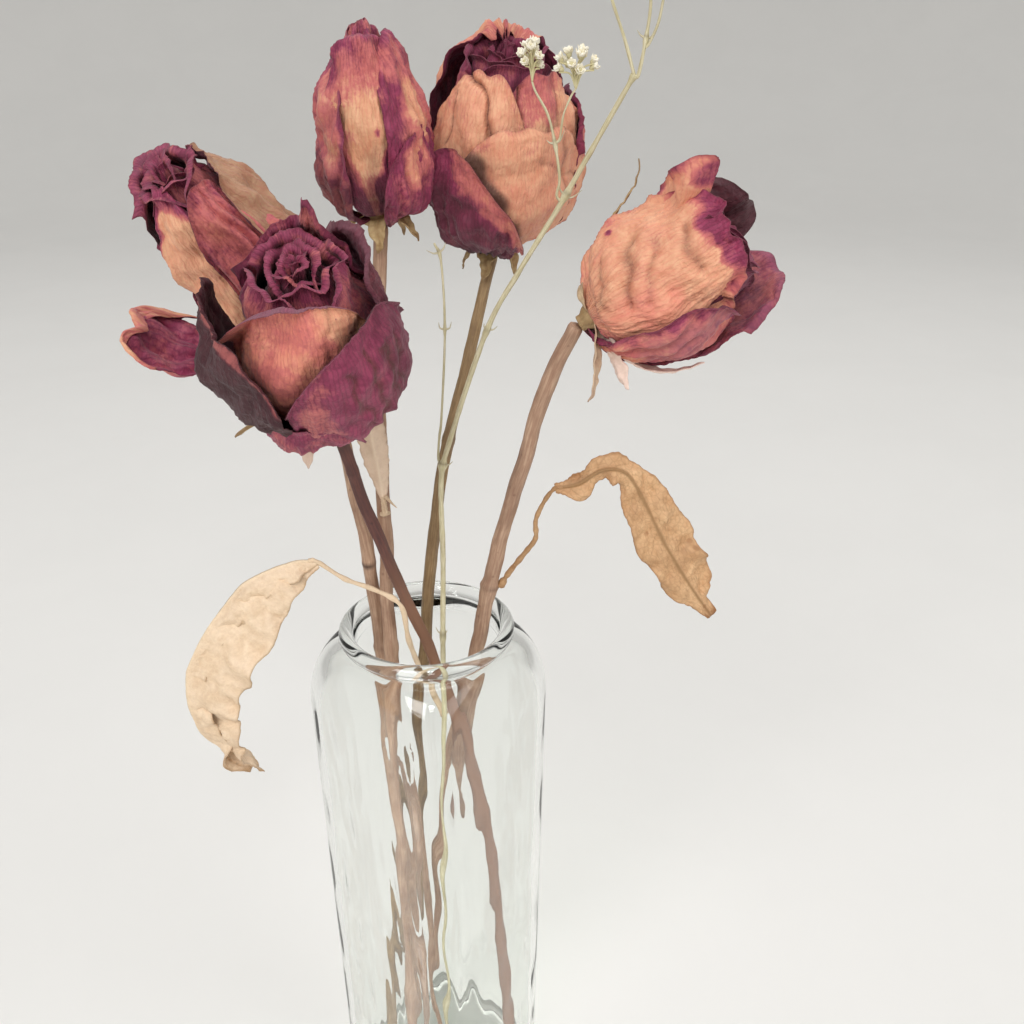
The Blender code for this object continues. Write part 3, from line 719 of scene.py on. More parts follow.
class Tone(Enum):
    """The material slot that a petal takes."""

    TAN = "petal_tan"
    MAGENTA = "petal_magenta"
    DARK = "petal_dark"


@dataclass(frozen=True)
class Look:
    """How one face of a petal is coloured, in shares from 0 to 1 and metres."""

    flush: float = 0
    rim: float = 0.3  # flush added along the edges
    depth: float = 0.004  # how far in from the edges that reaches
    tip: float = 0  # flush added towards the rim
    root: float = 0  # painted shade added towards the hip, on the flower's underside
    coral: float = 0.3
    grey: float = 0
    # share of the deep colour: the petal's own dark tone and painted shade
    shade: float = 0


@dataclass(frozen=True)
class Patch:
    """A soft-edged oval of one mask on a petal's outer face, in shares across and along."""

    # A shade patch mostly paints shade, such as a petal's shadow on its neighbour or a shaded lower part, or
    # paints light on an edge where the amount is negative.
    mask: str
    across: float
    along: float
    wide: float
    tall: float
    amount: float
    lean: float = 0  # how far across it moves for each share along


@dataclass(frozen=True)
class Curl:
    """A roll of part of a petal about a straight line drawn on its flat shape."""

    across: float  # a point of the line, -1 to 1 from edge to edge
    along: float  # and 0 to 1 from the hip to the rim
    heading: float  # degrees: the rolled part lies this way, 0 across and 90 along
    radius: float
    turn: float  # degrees rolled in all, outwards if positive


@dataclass(frozen=True)
class Crease:
    """A fold line along a quadratic curve through shares (across, along) of the petal."""

    start: tuple
    bend: tuple
    end: tuple
    depth: float
    width: float
    stain: float


@dataclass(frozen=True)
class Bud:
    """Outline of a rose in its own frame: +Z up the axis, azimuth 0 towards -Y."""

    belly: float
    side: float
    heart: float


@dataclass(frozen=True)
class Petal:
    """One petal: the bent sheet of the solid model, with its rolls, creases and colours."""

    name: str
    azimuth: float
    spread: float
    shell: float
    length: float
    outside: Look
    rim_roll: float = 55  # degrees
    rise: float = 0  # metres that its rim stands above the solid's
    opening: float = 0
    flare: float = 0
    tone: Tone = Tone.MAGENTA
    inside: Look = Look(1, shade=0.25)
    patches: tuple = ()
    slant: float = 0  # share of the length that the left edge lacks, or the right if negative
    notch: float = 0.015
    ragged: float = 0.0003
    rim_width: float = 0.0026
    rim_radius: float = 0.0012
    rim_bias: float = 0  # how much wider the rim's roll is at the left, as a share
    edge_rolls: tuple = (35, 35)
    edge_width: float = 0.0018
    edge_radius: float = 0.0011
    curls: tuple = ()
    creases: tuple = ()
    pleat: float = 0
    pleat_spacing: float = 0.0055
    pleat_lean: float = 0  # metres across for each metre along
    ruffle: float = 0.00028
    crumple: float = 0.00024
    shade_depth: float = 0  # painted shade: depth below the rim at which the heart's hollow has turned the petal fully dark
    shade_outside: bool = False  # whether its outer face gets that painted shade too
    swing: float = 0  # degrees that it stands further round than the solid
    droop: float = 0  # degrees of flare more than the solid's
    breadth: float = 1  # its spread as a share of the solid's
    tuck: float = 0  # metres that it lies closer to the heart than the solid
    puff: float = 0  # metres that its middle bellies out
    edge_drop: float = EDGE_DROP  # how much shorter its edges are, as a share
    peak: float = 0.1  # where across the notch, or the point if the notch is negative, lies
    rows: int = 76
    columns: int = 68


@dataclass
class Flat:
    """A petal laid flat: metres across and along, and its lift off the flower's surface."""

    x: Array
    y: Array
    lift: Array

    def roll(self, past: Array, heading: tuple[float, float], radius: Number, turn: float) -> None:
        """Roll what lies past a line about a cylinder.

        With d the distance past the line and a = d/radius, held at the turn, a point comes to
        radius sin a + (d - radius a) cos a beyond the line, and rises by
        radius (1 - cos a) + (d - radius a) sin a.

        Args:
            past: distance of each point past the line.
            heading: unit direction across the line.
            radius: the cylinder's.
            turn: degrees in all, outwards if positive.
        """
        past = np.maximum(past, 0)
        arc = np.minimum(past / radius, radians(abs(turn)))
        rest = past - arc * radius
        shift = radius * np.sin(arc) + rest * np.cos(arc) - past
        self.x = self.x + heading[0] * shift
        self.y = self.y + heading[1] * shift
        rise = radius * (1 - np.cos(arc)) + rest * np.sin(arc)
        self.lift = self.lift + copysign(1, turn) * rise


class PetalSurface:
    """Works out one petal's points and masks in its flower's own frame.

    A grid point (u, share) lies u times the half width across and share times the outline
    along. It is rolled about the petal's lines, set on the flower's surface at that turn and
    length, and moved along the surface's normal by its lift and its wrinkles.
    """

    def __init__(self, bud: Bud, petal: Petal, flower_seed: int, seed: int, sink: float) -> None:
        """Keep the petal's shape, the seeds of the flower's and its own noise, and its sinking."""
        self.bud, self.petal, self.sink = bud, petal, sink
        self.flower_seed, self.seed = flower_seed, seed
        self.offset = petal.shell * SHELL_PITCH - petal.tuck
        self.reference = bud.belly + self.offset
        self.half = self.reference * radians(petal.spread) * petal.breadth

    def slope(self) -> tuple[Array, Array, Array, Array]:
        """Return the petal's middle line: length, radius, height and tilt from the axis.

        The tilt is 90 degrees - s/bowl down to 0 at a quarter circle, then -(s - quarter)/side;
        the opening and the flare are added by soft steps, and radius and height are the sums
        of sin(tilt) ds and cos(tilt) ds.
        """
        bud, petal, bowl = self.bud, self.petal, self.reference
        centre = HIP_HEIGHT + GAP + bud.belly
        apart = centre - HIP_HEIGHT / 2
        reach = HIP_RADIUS + GAP + SOLID_PETAL / 2
        cosine = (bowl ** 2 + apart ** 2 - reach ** 2) / (2 * bowl * apart)
        angle = acos(min(max(cosine, 0), cos(radians(NARROWEST_START)))) * WRAP
        length = np.linspace(0, petal.length + petal.rise + self.sink - bowl * angle, SLOPE_POINTS)
        share = length / length[-1]
        travelled = length + bowl * angle
        tilt = np.maximum(pi / 2 - travelled / bowl, 0)
        tilt -= np.maximum(travelled - bowl * pi / 2, 0) / (bud.side + self.offset)
        tilt += radians(petal.opening) * ease(share / OPENING_END)
        flare = radians(petal.flare + petal.droop)
        tilt += flare * ease((share - FLARE_START) / (1 - FLARE_START))
        middle = (tilt[1:] + tilt[:-1]) / 2
        step = np.diff(length)
        radius = bowl * sin(angle) + sums(np.sin(middle) * step)
        height = centre - self.sink - bowl * cos(angle) + sums(np.cos(middle) * step)
        return length, radius, height, tilt

    def outline(self, u: Array) -> Array:
        """Return how far along the petal its rim lies at each place across, as a share."""
        petal = self.petal
        short = (1 - u) / 2 if petal.slant > 0 else (1 + u) / 2
        reach = (1 - petal.edge_drop * np.abs(u) ** 3) * (1 - abs(petal.slant) * short ** 1.4)
        wander = waves(join(u * self.half, 0), 0.0085, self.seed + 11, 12)
        return reach - petal.notch * bell(u - petal.peak, 0.2) + petal.ragged * wander / petal.length

    def crease_mask(self, own: Array, length: float, crease: Crease) -> Array:
        """Return the bell of each point's least distance to the crease, a chain of straight pieces."""
        t = shares(15)
        start, bend, end = (np.array(knot, float) * (self.half, length)
                            for knot in (crease.start, crease.bend, crease.end))
        curve = (1 - t) ** 2 * start + 2 * t * (1 - t) * bend + t ** 2 * end
        bent = own + waves(own, 0.011, self.seed + 23)[..., None] * 0.0005
        distance = np.full(own.shape[:2], 1)
        for first, last in zip(curve, curve[1:]):
            run = last - first
            away = bent - first
            share = np.clip(away @ run / (run @ run), 0, 1)[..., None]
            distance = np.minimum(distance, np.linalg.norm(away - share * run, axis=-1))
        return bell(distance, crease.width)

    def add_to(self, parts: MeshParts, place: Matrix) -> None:
        """Add the petal to a mesh, in the flower's place."""
        petal, seed = self.petal, self.seed
        length, radius, height, tilt = self.slope()
        whole = length[-1]
        across = np.linspace(-1, 1, petal.columns)
        u, share = np.broadcast_arrays(across * (1.15 - 0.15 * across ** 2),
                                       1 - (1 - shares(petal.rows)) ** 1.4)
        widen = CLAW_WIDTH + (1 - CLAW_WIDTH) * ease(share / CLAW_LENGTH)
        rim = self.outline(u) * whole
        own = join(u * widen * self.half, share * rim)
        x, y = own[..., 0], own[..., 1]
        from_rim = rim - y
        from_side = (1 - np.abs(u)) * widen * self.half

        flat = Flat(x, y, np.zeros(u.shape))
        uneven = 1 + 0.2 * waves(own * (1, 0), 0.013, seed + 1)
        if petal.rim_roll:
            flat.roll(petal.rim_width * uneven * (1 - petal.rim_bias * u) - from_rim, (0, 1),
                      petal.rim_radius * uneven, petal.rim_roll)
        uneven = 1 + 0.2 * waves(own * (0, 1), 0.014, seed + 2)
        for sign, turn in zip((-1, 1), petal.edge_rolls):
            if turn:
                past = (petal.edge_width * uneven - from_side) * (np.sign(u) == sign)
                flat.roll(past * ease(share / 0.3), (sign, 0), petal.edge_radius * uneven, turn)
        for number, curl in enumerate(petal.curls):
            heading = (cos(radians(curl.heading)), sin(radians(curl.heading)))
            past = (x - curl.across * self.half) * heading[0] + (y - curl.along * whole) * heading[1]
            past = past + 0.0006 * waves(own, 0.011, seed + 5 + number)
            flat.roll(past, heading, curl.radius, curl.turn)

        turn = radians(petal.azimuth + petal.swing) + flat.x / self.reference
        low = np.clip(flat.y, 0, whole)
        r, z, lean = (np.interp(low, length, values) for values in (radius, height, tilt))
        base = polar(r, turn, z) + polar(np.sin(lean), turn, np.cos(lean)) * (flat.y - low)[..., None]

        bulge = (0.00075 * waves(base, 0.019, self.flower_seed)
                 + 0.00032 * waves(base, 0.0085, self.flower_seed + 1))
        drawn = (u * self.half + petal.pleat_lean * y) / petal.pleat_spacing
        folds = np.sin(tau * (drawn + 0.3 * waves(own, 0.022, seed + 3)))
        folds = petal.pleat * (folds + 0.3 * folds ** 2) * (1 - 0.7 * ease((share - 0.6) / 0.4))
        edge = petal.ruffle * ease((share - 0.55) / 0.45) * waves(own * (1, 0.4), 0.011, seed + 4)
        fine = petal.crumple * (ridges(join(u * self.half, y * 0.28), 0.004, seed + 6)
                                + 0.6 * ridges(own, 0.003, seed + 7))
        belly = np.sin(pi * np.clip(share, 0, 1) ** 1.2) * (1 - np.clip(u, -1, 1) ** 2)
        move = flat.lift + petal.puff * belly + ease(share / 0.22) * (bulge + folds + edge + fine)
        stain = np.zeros(u.shape)
        for crease in petal.creases:
            mask = self.crease_mask(own, whole, crease)
            move = move - crease.depth * mask
            stain = np.maximum(stain, crease.stain * mask ** 2)
        points = placed(base + polar(np.cos(lean), turn, -np.sin(lean)) * move[..., None], place)

        inward = np.minimum(from_rim / 1.7, from_side)
        # Painted shade in the valleys of the crumples and pleats, put into the crease mask with the creases'
        # browning and the brown margin.
        deep = (petal.pleat > 0) * ease(-folds / max(petal.pleat, 0.0001) - 0.2)
        valley_shade = 0.28 * ease(-fine / (2.2 * petal.crumple) - 0.3) + 0.42 * deep
        margin = 0.35 * ease(1 - inward / 0.0004)
        thickness = PETAL_THICKNESS * (0.45 + 0.55 * ease(inward / 0.0015))
        parts.add_sheet(points, thickness, join(u * self.half, y, 0.013 * (seed % 97)),
                        crease=np.clip(stain + valley_shade + margin, 0, 1),
                        **self.masks(u, share, inward, from_rim, waves(own, 0.0085, seed + 8)))

    def masks(self, u: Array, share: Array, inward: Array, from_rim: Array,
              mottle: Array) -> dict[str, tuple]:
        """Return the outer and the inner face's value of each colour mask.

        Args:
            u: places across, -1 to 1.
            share: places along, 0 to 1.
            inward: metres in from the nearest edge.
            from_rim: metres from the rim alone.
            mottle: noise that makes the masks' borders uneven.
        """
        petal = self.petal
        found: dict[str, tuple] = {}
        for look in (petal.outside, petal.inside):
            # Painted shade of the heart's hollow: darker with depth below the rim.
            gets_hollow_shade = petal.shade_depth and (petal.shade_outside or look is petal.inside)
            hollow_shade = ease(from_rim / petal.shade_depth) if gets_hollow_shade else 0
            rimmed = ease(1 - inward / look.depth + 0.35 * mottle)
            face = {
                "flush": look.flush + look.rim * rimmed + look.tip * ease((share - 0.55) / 0.42),
                "coral": np.full(u.shape, look.coral),
                "grey": look.grey * (0.8 + 0.2 * mottle),
                # shade: the look's dark tone, painted shade towards the hip, and the hollow's painted shade.
                "shade": np.maximum(look.shade + look.root * ease(1 - share / 0.5), hollow_shade),
            }
            for patch in petal.patches if look is petal.outside else ():
                across = (u - patch.across - patch.lean * (share - patch.along)) / patch.wide
                reach = np.hypot(across, (share - patch.along) / patch.tall) + 0.14 * mottle
                face[patch.mask] = face[patch.mask] + patch.amount * ease((1.3 - reach) / 0.6)
            for name, value in face.items():
                found[name] = (*found.get(name, ()), np.clip(value, 0, 0.95))
        return found


PETAL_VALUES = ("flush", "coral", "grey", "shade", "crease")
LEAF_VALUES = ("rib", "shade", "bleach")
STALK_VALUES = ("mark", "pale")


# ---- roses


@dataclass(frozen=True)
class Sepal:
    """One sepal: it leaves the hip at one angle from the axis and ends at another."""

    azimuth: float
    leaves: float
    ends: float
    length: float
    width: float
    bleach: float = 0
    hook: float = 0  # degrees that its tip turns further
    twist: float = 0
    breadth: float = 1  # its width as a share of the solid's
    reach: float = 1  # its length as a share of the solid's
    sag: float = 0  # degrees that it leans outwards more than the solid


@dataclass(frozen=True)
class Whorl:
    """The wrapped inner petals, in place of the heart's solid."""

    count: int
    tightest: float  # size of the innermost petal's bowl, as a share of the heart's
    lip: float  # degrees that the rims roll outwards
    lip_width: float
    flare: float
    flush: float = 1
    grey: float = 0
    shade: float = 0
    depth: float = 0.008  # how far below the rims the painted shade of the heart's hollow reaches full darkness
    turn: float = 0
    size: float = 0.95  # the outermost petal's bowl as a share of the heart's
    sink: float = 0  # how far the rims lie below the heart's top
    ruffle: float = 0.001
    outer: int = 4  # how many petals show their outer faces, which are kept free of the hollow's painted shade


@dataclass(frozen=True)
class Mark:
    """A node or scar of a stem at a height: a raised ring, a dark line or a dark dot."""

    height: float
    swell: float = 0
    ring: float = 0
    dot: float = -1  # direction of a dot, degrees round the stem from -Y, or -1 for none


@dataclass(frozen=True)
class Rose:
    """One flower on its stem."""

    name: str
    seed: int
    base: tuple
    axis: tuple
    bud: Bud
    petals: tuple
    whorl: Whorl
    sepals: tuple
    stem: tuple
    stem_radius: float
    stem_finish: str
    marks: tuple = ()
    sink: float = 0.0042  # how much lower the shrunken petals sit on the hip than the solids
    fade: tuple = (0, -1)  # heights between which the stem turns pale, downwards


def add_stem(parts: MeshParts, rose: Rose, knots: tuple) -> None:
    """Add a dry stem: a tube with five lobes, swollen at its marks.

    The radius runs from the stem's own to STEM_TAPER of it, times 1 + 0.045 cos(5a + waves) +
    waves, plus swell exp(-((z - mark) / 1.6 mm)^2) at each mark.

    Args:
        parts: the mesh to add to.
        rose: the flower that it bears.
        knots: its route from its cut end.
    """
    rows, thick, seed = 220, rose.stem_radius, rose.seed
    path = smooth_route(knots, rows)
    ends = np.minimum(np.arange(rows), rows - 1 - np.arange(rows))[:, None]
    sway = np.stack([waves(path, 0.03, seed + axis) for axis in range(3)], axis=-1)
    path = path + 0.00025 * sway * ease(ends / 12)
    angle = turns(28)
    share = shares(rows)
    z = path[:, 2:3]
    skin = polar(1, angle, z / 0.01)
    lobes = 0.045 * np.cos(5 * angle + 1.3 * waves(z / 0.05, 1, seed)[:, None])
    factor = 1 + lobes + 0.035 * waves(skin, 2.2, seed + 1) + 0.02 * waves(skin, 0.7, seed + 2)
    radius = (thick + (thick * STEM_TAPER - thick) * share) * factor
    dark = np.zeros(radius.shape)
    for mark in rose.marks:
        radius = radius + mark.swell * bell(z - mark.height, 0.0016)
        dark = np.maximum(dark, mark.ring * bell(z - mark.height - 0.0003 * np.sin(angle + 1), 0.00035))
        if mark.dot >= 0:
            away = (angle - radians(mark.dot) + pi) % tau - pi
            spot = np.hypot(away * thick, z - mark.height)
            dark = np.maximum(dark, ease(1.4 - spot / 0.0006))
            radius = radius + 0.00015 * bell(spot, 0.0008)
    radius = radius * (0.86 + 0.14 * ease(np.minimum(share, 1 - share) * rows / 2))
    high, low = rose.fade
    pale = np.maximum(0.6 * ease(1 - share * rows / 3), 0.9 * ease((high - z) / (high - low)))
    parts.add_tube(path, radius, 0.017 * seed, mark=dark, pale=pale)


class RoseHead:
    """Builds one rose: its stem, its calyx, its whorl and its outer petals."""

    def __init__(self, rose: Rose, finishes: dict[str, Material]) -> None:
        """Keep the rose, its frame and the finishes by slot name."""
        self.rose = rose
        self.finishes = finishes
        self.axis = Vector(rose.axis).normalized()
        front = Vector((0, -1, 0))
        front = (front - self.axis * front.dot(self.axis)).normalized()
        columns = Matrix((front, self.axis.cross(front), self.axis)).transposed().to_4x4()
        self.place = Matrix.Translation(rose.base) @ columns

    def build(self) -> None:
        """Build every piece of the rose."""
        self.build_stem()
        self.build_calyx()
        self.build_whorl()
        for number, petal in enumerate(self.rose.petals):
            self.build_petal(petal, self.rose.seed + 40 * (number + 1))

    def finish(self, parts: MeshParts, piece: str, slot: str, node: str) -> None:
        """Place a piece of the rose for its solid."""
        name = self.rose.name
        parts.place(f"{name}_{piece}", self.finishes[slot], slot, f"{name}_{node}")

    def build_petal(self, petal: Petal, seed: int) -> None:
        """Build one outer petal in place of its solid."""
        rose = self.rose
        parts = MeshParts(*PETAL_VALUES)
        PetalSurface(rose.bud, petal, rose.seed, seed, rose.sink).add_to(parts, self.place)
        self.finish(parts, f"{petal.name}_petal", petal.tone.value, f"petal_{petal.name}")

    def inner_petal(self, number: int) -> tuple[Bud, Petal]:
        """Return the outline and the sheet of one wrapped petal, counted from the middle.

        Sizes grow by the share number / (count - 1): the bowl from the tightest to the whorl's
        size, and the half angle from 150 down to 62 degrees. Each petal is a golden angle on
        from the last.
        """
        whorl, bud = self.rose.whorl, self.rose.bud
        share = number / (whorl.count - 1)
        size = whorl.tightest + (whorl.size - whorl.tightest) * share ** 0.85
        small = Bud(bud.belly * size, bud.side / size, bud.heart)
        top = bud.heart - whorl.sink
        length = small.belly * pi / 2 + top - small.belly + 0.0016 * sin(GOLDEN_ANGLE * number)
        outside, inside = (Look(whorl.flush, coral=0.6, grey=whorl.grey, shade=whorl.shade * part)
                           for part in (1, 0.5))
        petal = Petal(
            f"inner_{number}", whorl.turn + 137.5 * number, 150 - 88 * share ** 0.6, 0,
            length + 0.4 * whorl.lip_width, outside, flare=whorl.flare * share, inside=inside,
            notch=0.015 * (number % 3), ragged=0.0002, edge_drop=0.1,
            rim_roll=whorl.lip * (0.35 + 0.65 * min(1, share * 2.2)),
            rim_width=whorl.lip_width * (0.45 + 0.55 * min(1, share * 1.6)),
            rim_radius=0.0008 + 0.0009 * share, edge_rolls=(50, 25), edge_radius=0.0009,
            # Petals deep in the heart get painted shade below their rims; the outermost keep it off their
            # outer faces.
            ruffle=whorl.ruffle, crumple=0.0002, shade_depth=whorl.depth,
            shade_outside=number < whorl.count - whorl.outer, rows=52, columns=52,
        )
        return small, petal

    def build_whorl(self) -> None:
        """Build the wrapped petals as one piece in place of the heart."""
        rose = self.rose
        parts = MeshParts(*PETAL_VALUES)
        for number in range(rose.whorl.count):
            small, petal = self.inner_petal(number)
            seed = rose.seed + 1000 + 31 * number
            PetalSurface(small, petal, rose.seed, seed, rose.sink).add_to(parts, self.place)
        self.finish(parts, "whorl", "petal_magenta", "heart")

    def build_calyx(self) -> None:
        """Build the hip and its sepals as one piece.

        The hip's radius is HIP_GIRTH sqrt(1 - t^2) with t from -1 to 1, no thinner than the
        stem below, times 1 + 0.045 cos(10a) for its ribs.
        """
        rose = self.rose
        parts = MeshParts(*LEAF_VALUES)
        height = np.linspace(-0.0006, HIP_HEIGHT, 26)
        level = np.clip(height / HIP_HEIGHT * 2 - 1, -1, 1)[:, None]
        ribs = np.cos(10 * turns(40))
        neck = rose.stem_radius * STEM_TAPER * ease(1.6 - (level + 1))
        radius = np.maximum(HIP_GIRTH * np.sqrt(np.maximum(1 - level ** 2, 0.02)), neck)
        path = placed(join(0, 0, height), self.place)
        parts.add_tube(path, radius * (1 + 0.045 * ribs), 0.3, rib=0.3 * (0.5 + 0.5 * ribs), shade=0.15)
        for number, sepal in enumerate(rose.sepals):
            self.add_sepal(parts, sepal, rose.seed + 700 + number)
        self.finish(parts, "hip", "calyx", "calyx")

    def add_sepal(self, parts: MeshParts, sepal: Sepal, seed: int) -> None:
        """Add a sepal: a narrow keeled blade along a bending line.

        The line's lean goes from leaves to ends, with the hook's share^5 at the tip; the half
        width is width sin(pi (0.16 + 0.84 share)^0.8)^0.9 at each side of the keel.
        """
        rows = 44
        share = shares(rows)
        lean = sepal.leaves + sepal.sag + (sepal.ends - sepal.leaves) * share
        lean = np.radians(lean + sepal.hook * share ** 5)
        step = sepal.reach * sepal.length / (rows - 1)
        x, z = (start + sums(part[:-1, 0] * step) for start, part in (
            (HIP_RADIUS * 0.5, np.sin(lean)), (HIP_HEIGHT * 0.42, np.cos(lean))))
        middle = join(x, 0.0006 * waves(share, 0.8, seed) * share[:, 0], z)[:, None]
        out = join(np.cos(lean), 0, -np.sin(lean))
        spin = np.radians(sepal.twist) * share[..., None] ** 1.5
        turned = np.cos(spin) * (0, 1, 0) + out * np.sin(spin)
        raised = out * np.cos(spin) - np.sin(spin) * (0, 1, 0)
        u = np.linspace(-1, 1, 13)[None, ::-1]
        half = sepal.breadth * sepal.width * np.sin(pi * (0.16 + 0.84 * share) ** 0.8) ** 0.9 + 0.00012
        half = half * (1 + 0.12 * waves(share * 3, 0.9, seed + 1)[:, None] * np.abs(u))
        own = join(u * half, share * sepal.length)
        lift = -0.35 * half * np.abs(u) ** 1.4 + 0.00015 * waves(own, 0.003, seed + 2)
        points = middle + turned * own[..., :1] + raised * lift[..., None]
        azimuth = Matrix.Rotation(radians(sepal.azimuth), 3, "Z")
        tip = 0.55 * ease((share - 0.75) / 0.25)
        parts.add_sheet(placed(points @ np.array(azimuth).T, self.place), PETAL_THICKNESS,
                        join(own[..., 0], own[..., 1], 0.01 * (seed % 50)), rib=0.6 * bell(u * 3.5, 1),
                        shade=tip * (1 - sepal.bleach), bleach=sepal.bleach)

    def build_stem(self) -> None:
        """Build the stem from its cut end on the vase's floor up to the hip."""
        rose = self.rose
        arrives = (Vector(rose.stem[-1]) - Vector(rose.stem[-2])).normalized()
        tilt = arrives.cross(self.axis).length
        end = Vector(rose.base) - self.axis * (GAP + rose.stem_radius * STEM_TAPER * tilt)
        foot = (*rose.stem[0][:2], CUT_HEIGHT + GAP)
        parts = MeshParts(*STALK_VALUES)
        add_stem(parts, rose, (foot, *rose.stem[1:-1], tuple(end)))
        self.finish(parts, "stalk", rose.stem_finish, "stem")


# Whole-face looks. Their shade mixes the petals' own dark tone with painted shade, most on inner faces turned
# into the flower.
TAN_IN = Look(0.7, coral=0.5, shade=0.2)
MAGENTA_OUT = Look(0.8, coral=0.7)
PLUM_OUT = Look(0.95, coral=0.7, grey=0.15, shade=0.3)
DEEP_OUT = Look(1, coral=0.7, shade=0.38)
DEEP_IN = Look(1, coral=0.7, shade=0.7)

FRONT = Rose("front_rose", 100, (-0.026, -0.038, 0.325), (0, -0.62, 0.78), Bud(0.0165, 0.085, 0.046),
    (Petal("bowl", 0, 66, 1, 0.054, Look(0.26, 0, coral=1), 100, 0.006, tone=Tone.TAN,
            inside=Look(0.75, grey=0.75, shade=0.15),
            patches=(Patch("coral", 0.7, 0.92, 0.4, 0.2, -0.6), Patch("flush", 0.7, 0.92, 0.4, 0.2, -0.2)),
            rim_width=0.0034, rim_bias=0.6, puff=0.0024,
            creases=(Crease((0.5, 1), (0.25, 0.8), (0.3, 0.6), 0.0005, 0.0009, 0.35),)),
        Petal("back", 178, 62, 1, 0.064, PLUM_OUT, 50, -0.0055, inside=Look(0.58, grey=0.1),
            rim_width=0.003, rim_radius=0.0016, ruffle=0.0004, notch=-0.2, peak=-0.3),
        Petal("lip", 118, 50, 2.2, 0.062, PLUM_OUT, 50, flare=8, tone=Tone.DARK,
            inside=Look(0.85, grey=0.75, shade=0.15), edge_rolls=(70, 25), ruffle=0.0006),
        Petal("pleated", 50, 50, 3.4, 0.052, Look(0.94, 0.1, coral=0.5, shade=0.06), 50, 0.008, opening=4,
            slant=0.1, edge_drop=0.3, inside=DEEP_IN, ragged=0.0001,
            patches=(Patch("flush", -0.7, 0.45, 0.25, 0.45, -0.3),
                Patch("shade", 0.7, 0.5, 0.5, 0.7, 0.32)),
            rim_width=0.0022, edge_rolls=(35, 25), pleat=0.0004, pleat_spacing=0.006, ruffle=0.0001,
            pleat_lean=0.1, notch=0, swing=-7, breadth=1.12, puff=0.003, droop=-10, crumple=0.00014,
            columns=90,
            creases=(Crease((-0.3, 0.8), (-0.25, 0.62), (-0.05, 0.4), 0.0009, 0.001, 0.8),
                Crease((0.02, 0.84), (0.05, 0.65), (0.14, 0.36), 0.0011, 0.0012, 0.9),
                Crease((0.26, 0.8), (0.26, 0.6), (0.32, 0.38), 0.0009, 0.0013, 0.9),
                Crease((0.46, 0.78), (0.42, 0.6), (0.44, 0.42), 0.001, 0.0012, 0.9))),
        Petal("shadow", -70, 54, 2.4, 0.052, Look(1, 0, coral=0.7, shade=0.78), 55, 0.004, opening=14,
            flare=4, tone=Tone.DARK, inside=DEEP_IN, edge_rolls=(30, 0),
            # Its near-black shade is the dark petal's tone and painted shadow; the negative shade patches
            # paint light on its lower left and along its rim.
            patches=(Patch("shade", -0.6, 0.25, 0.5, 0.3, -0.45), Patch("flush", 0.3, 0.99, 1, 0.05, -0.5),
                Patch("shade", 0.3, 0.99, 1, 0.05, -0.4)),
            rim_width=0.002, droop=-18, swing=4, puff=0.002, pleat=0.0004),
        Petal("under", -14, 46, 4.7, 0.03, Look(0.72, 0.2, coral=0.7), 20, 0.001, opening=6, flare=18,
            inside=Look(0.8, shade=0.3), pleat=0.0004, droop=-34)),
    Whorl(12, 0.11, 110, 0.0031, -2, 0.6, 0.06, 0.02, 0.008, 20, size=0.98, ruffle=0.0004),
    (Sepal(-20, 120, 178, 0.015, 0.0026, 0.7, reach=1.6),
        Sepal(-68, 95, 120, 0.019, 0.0014, hook=20, reach=1.3), Sepal(60, 120, 170, 0.014, 0.0024),
        Sepal(140, 110, 160, 0.014, 0.0024), Sepal(-150, 110, 165, 0.014, 0.0024)),
    ((0.027, -0.003, 0), (0.024, -0.004, 0.07), (0.019, -0.006, 0.13), (0.011, -0.008, 0.185),
        (0.001, -0.01, 0.222), (-0.008, -0.018, 0.254), (-0.019, -0.031, 0.297), (-0.026, -0.038, 0.325)),
    0.0022, "stem_dark", (Mark(0.3, 0.0002, 0.4), Mark(0.15, 0.0004, 0.5)), fade=(0.278, 0.232))

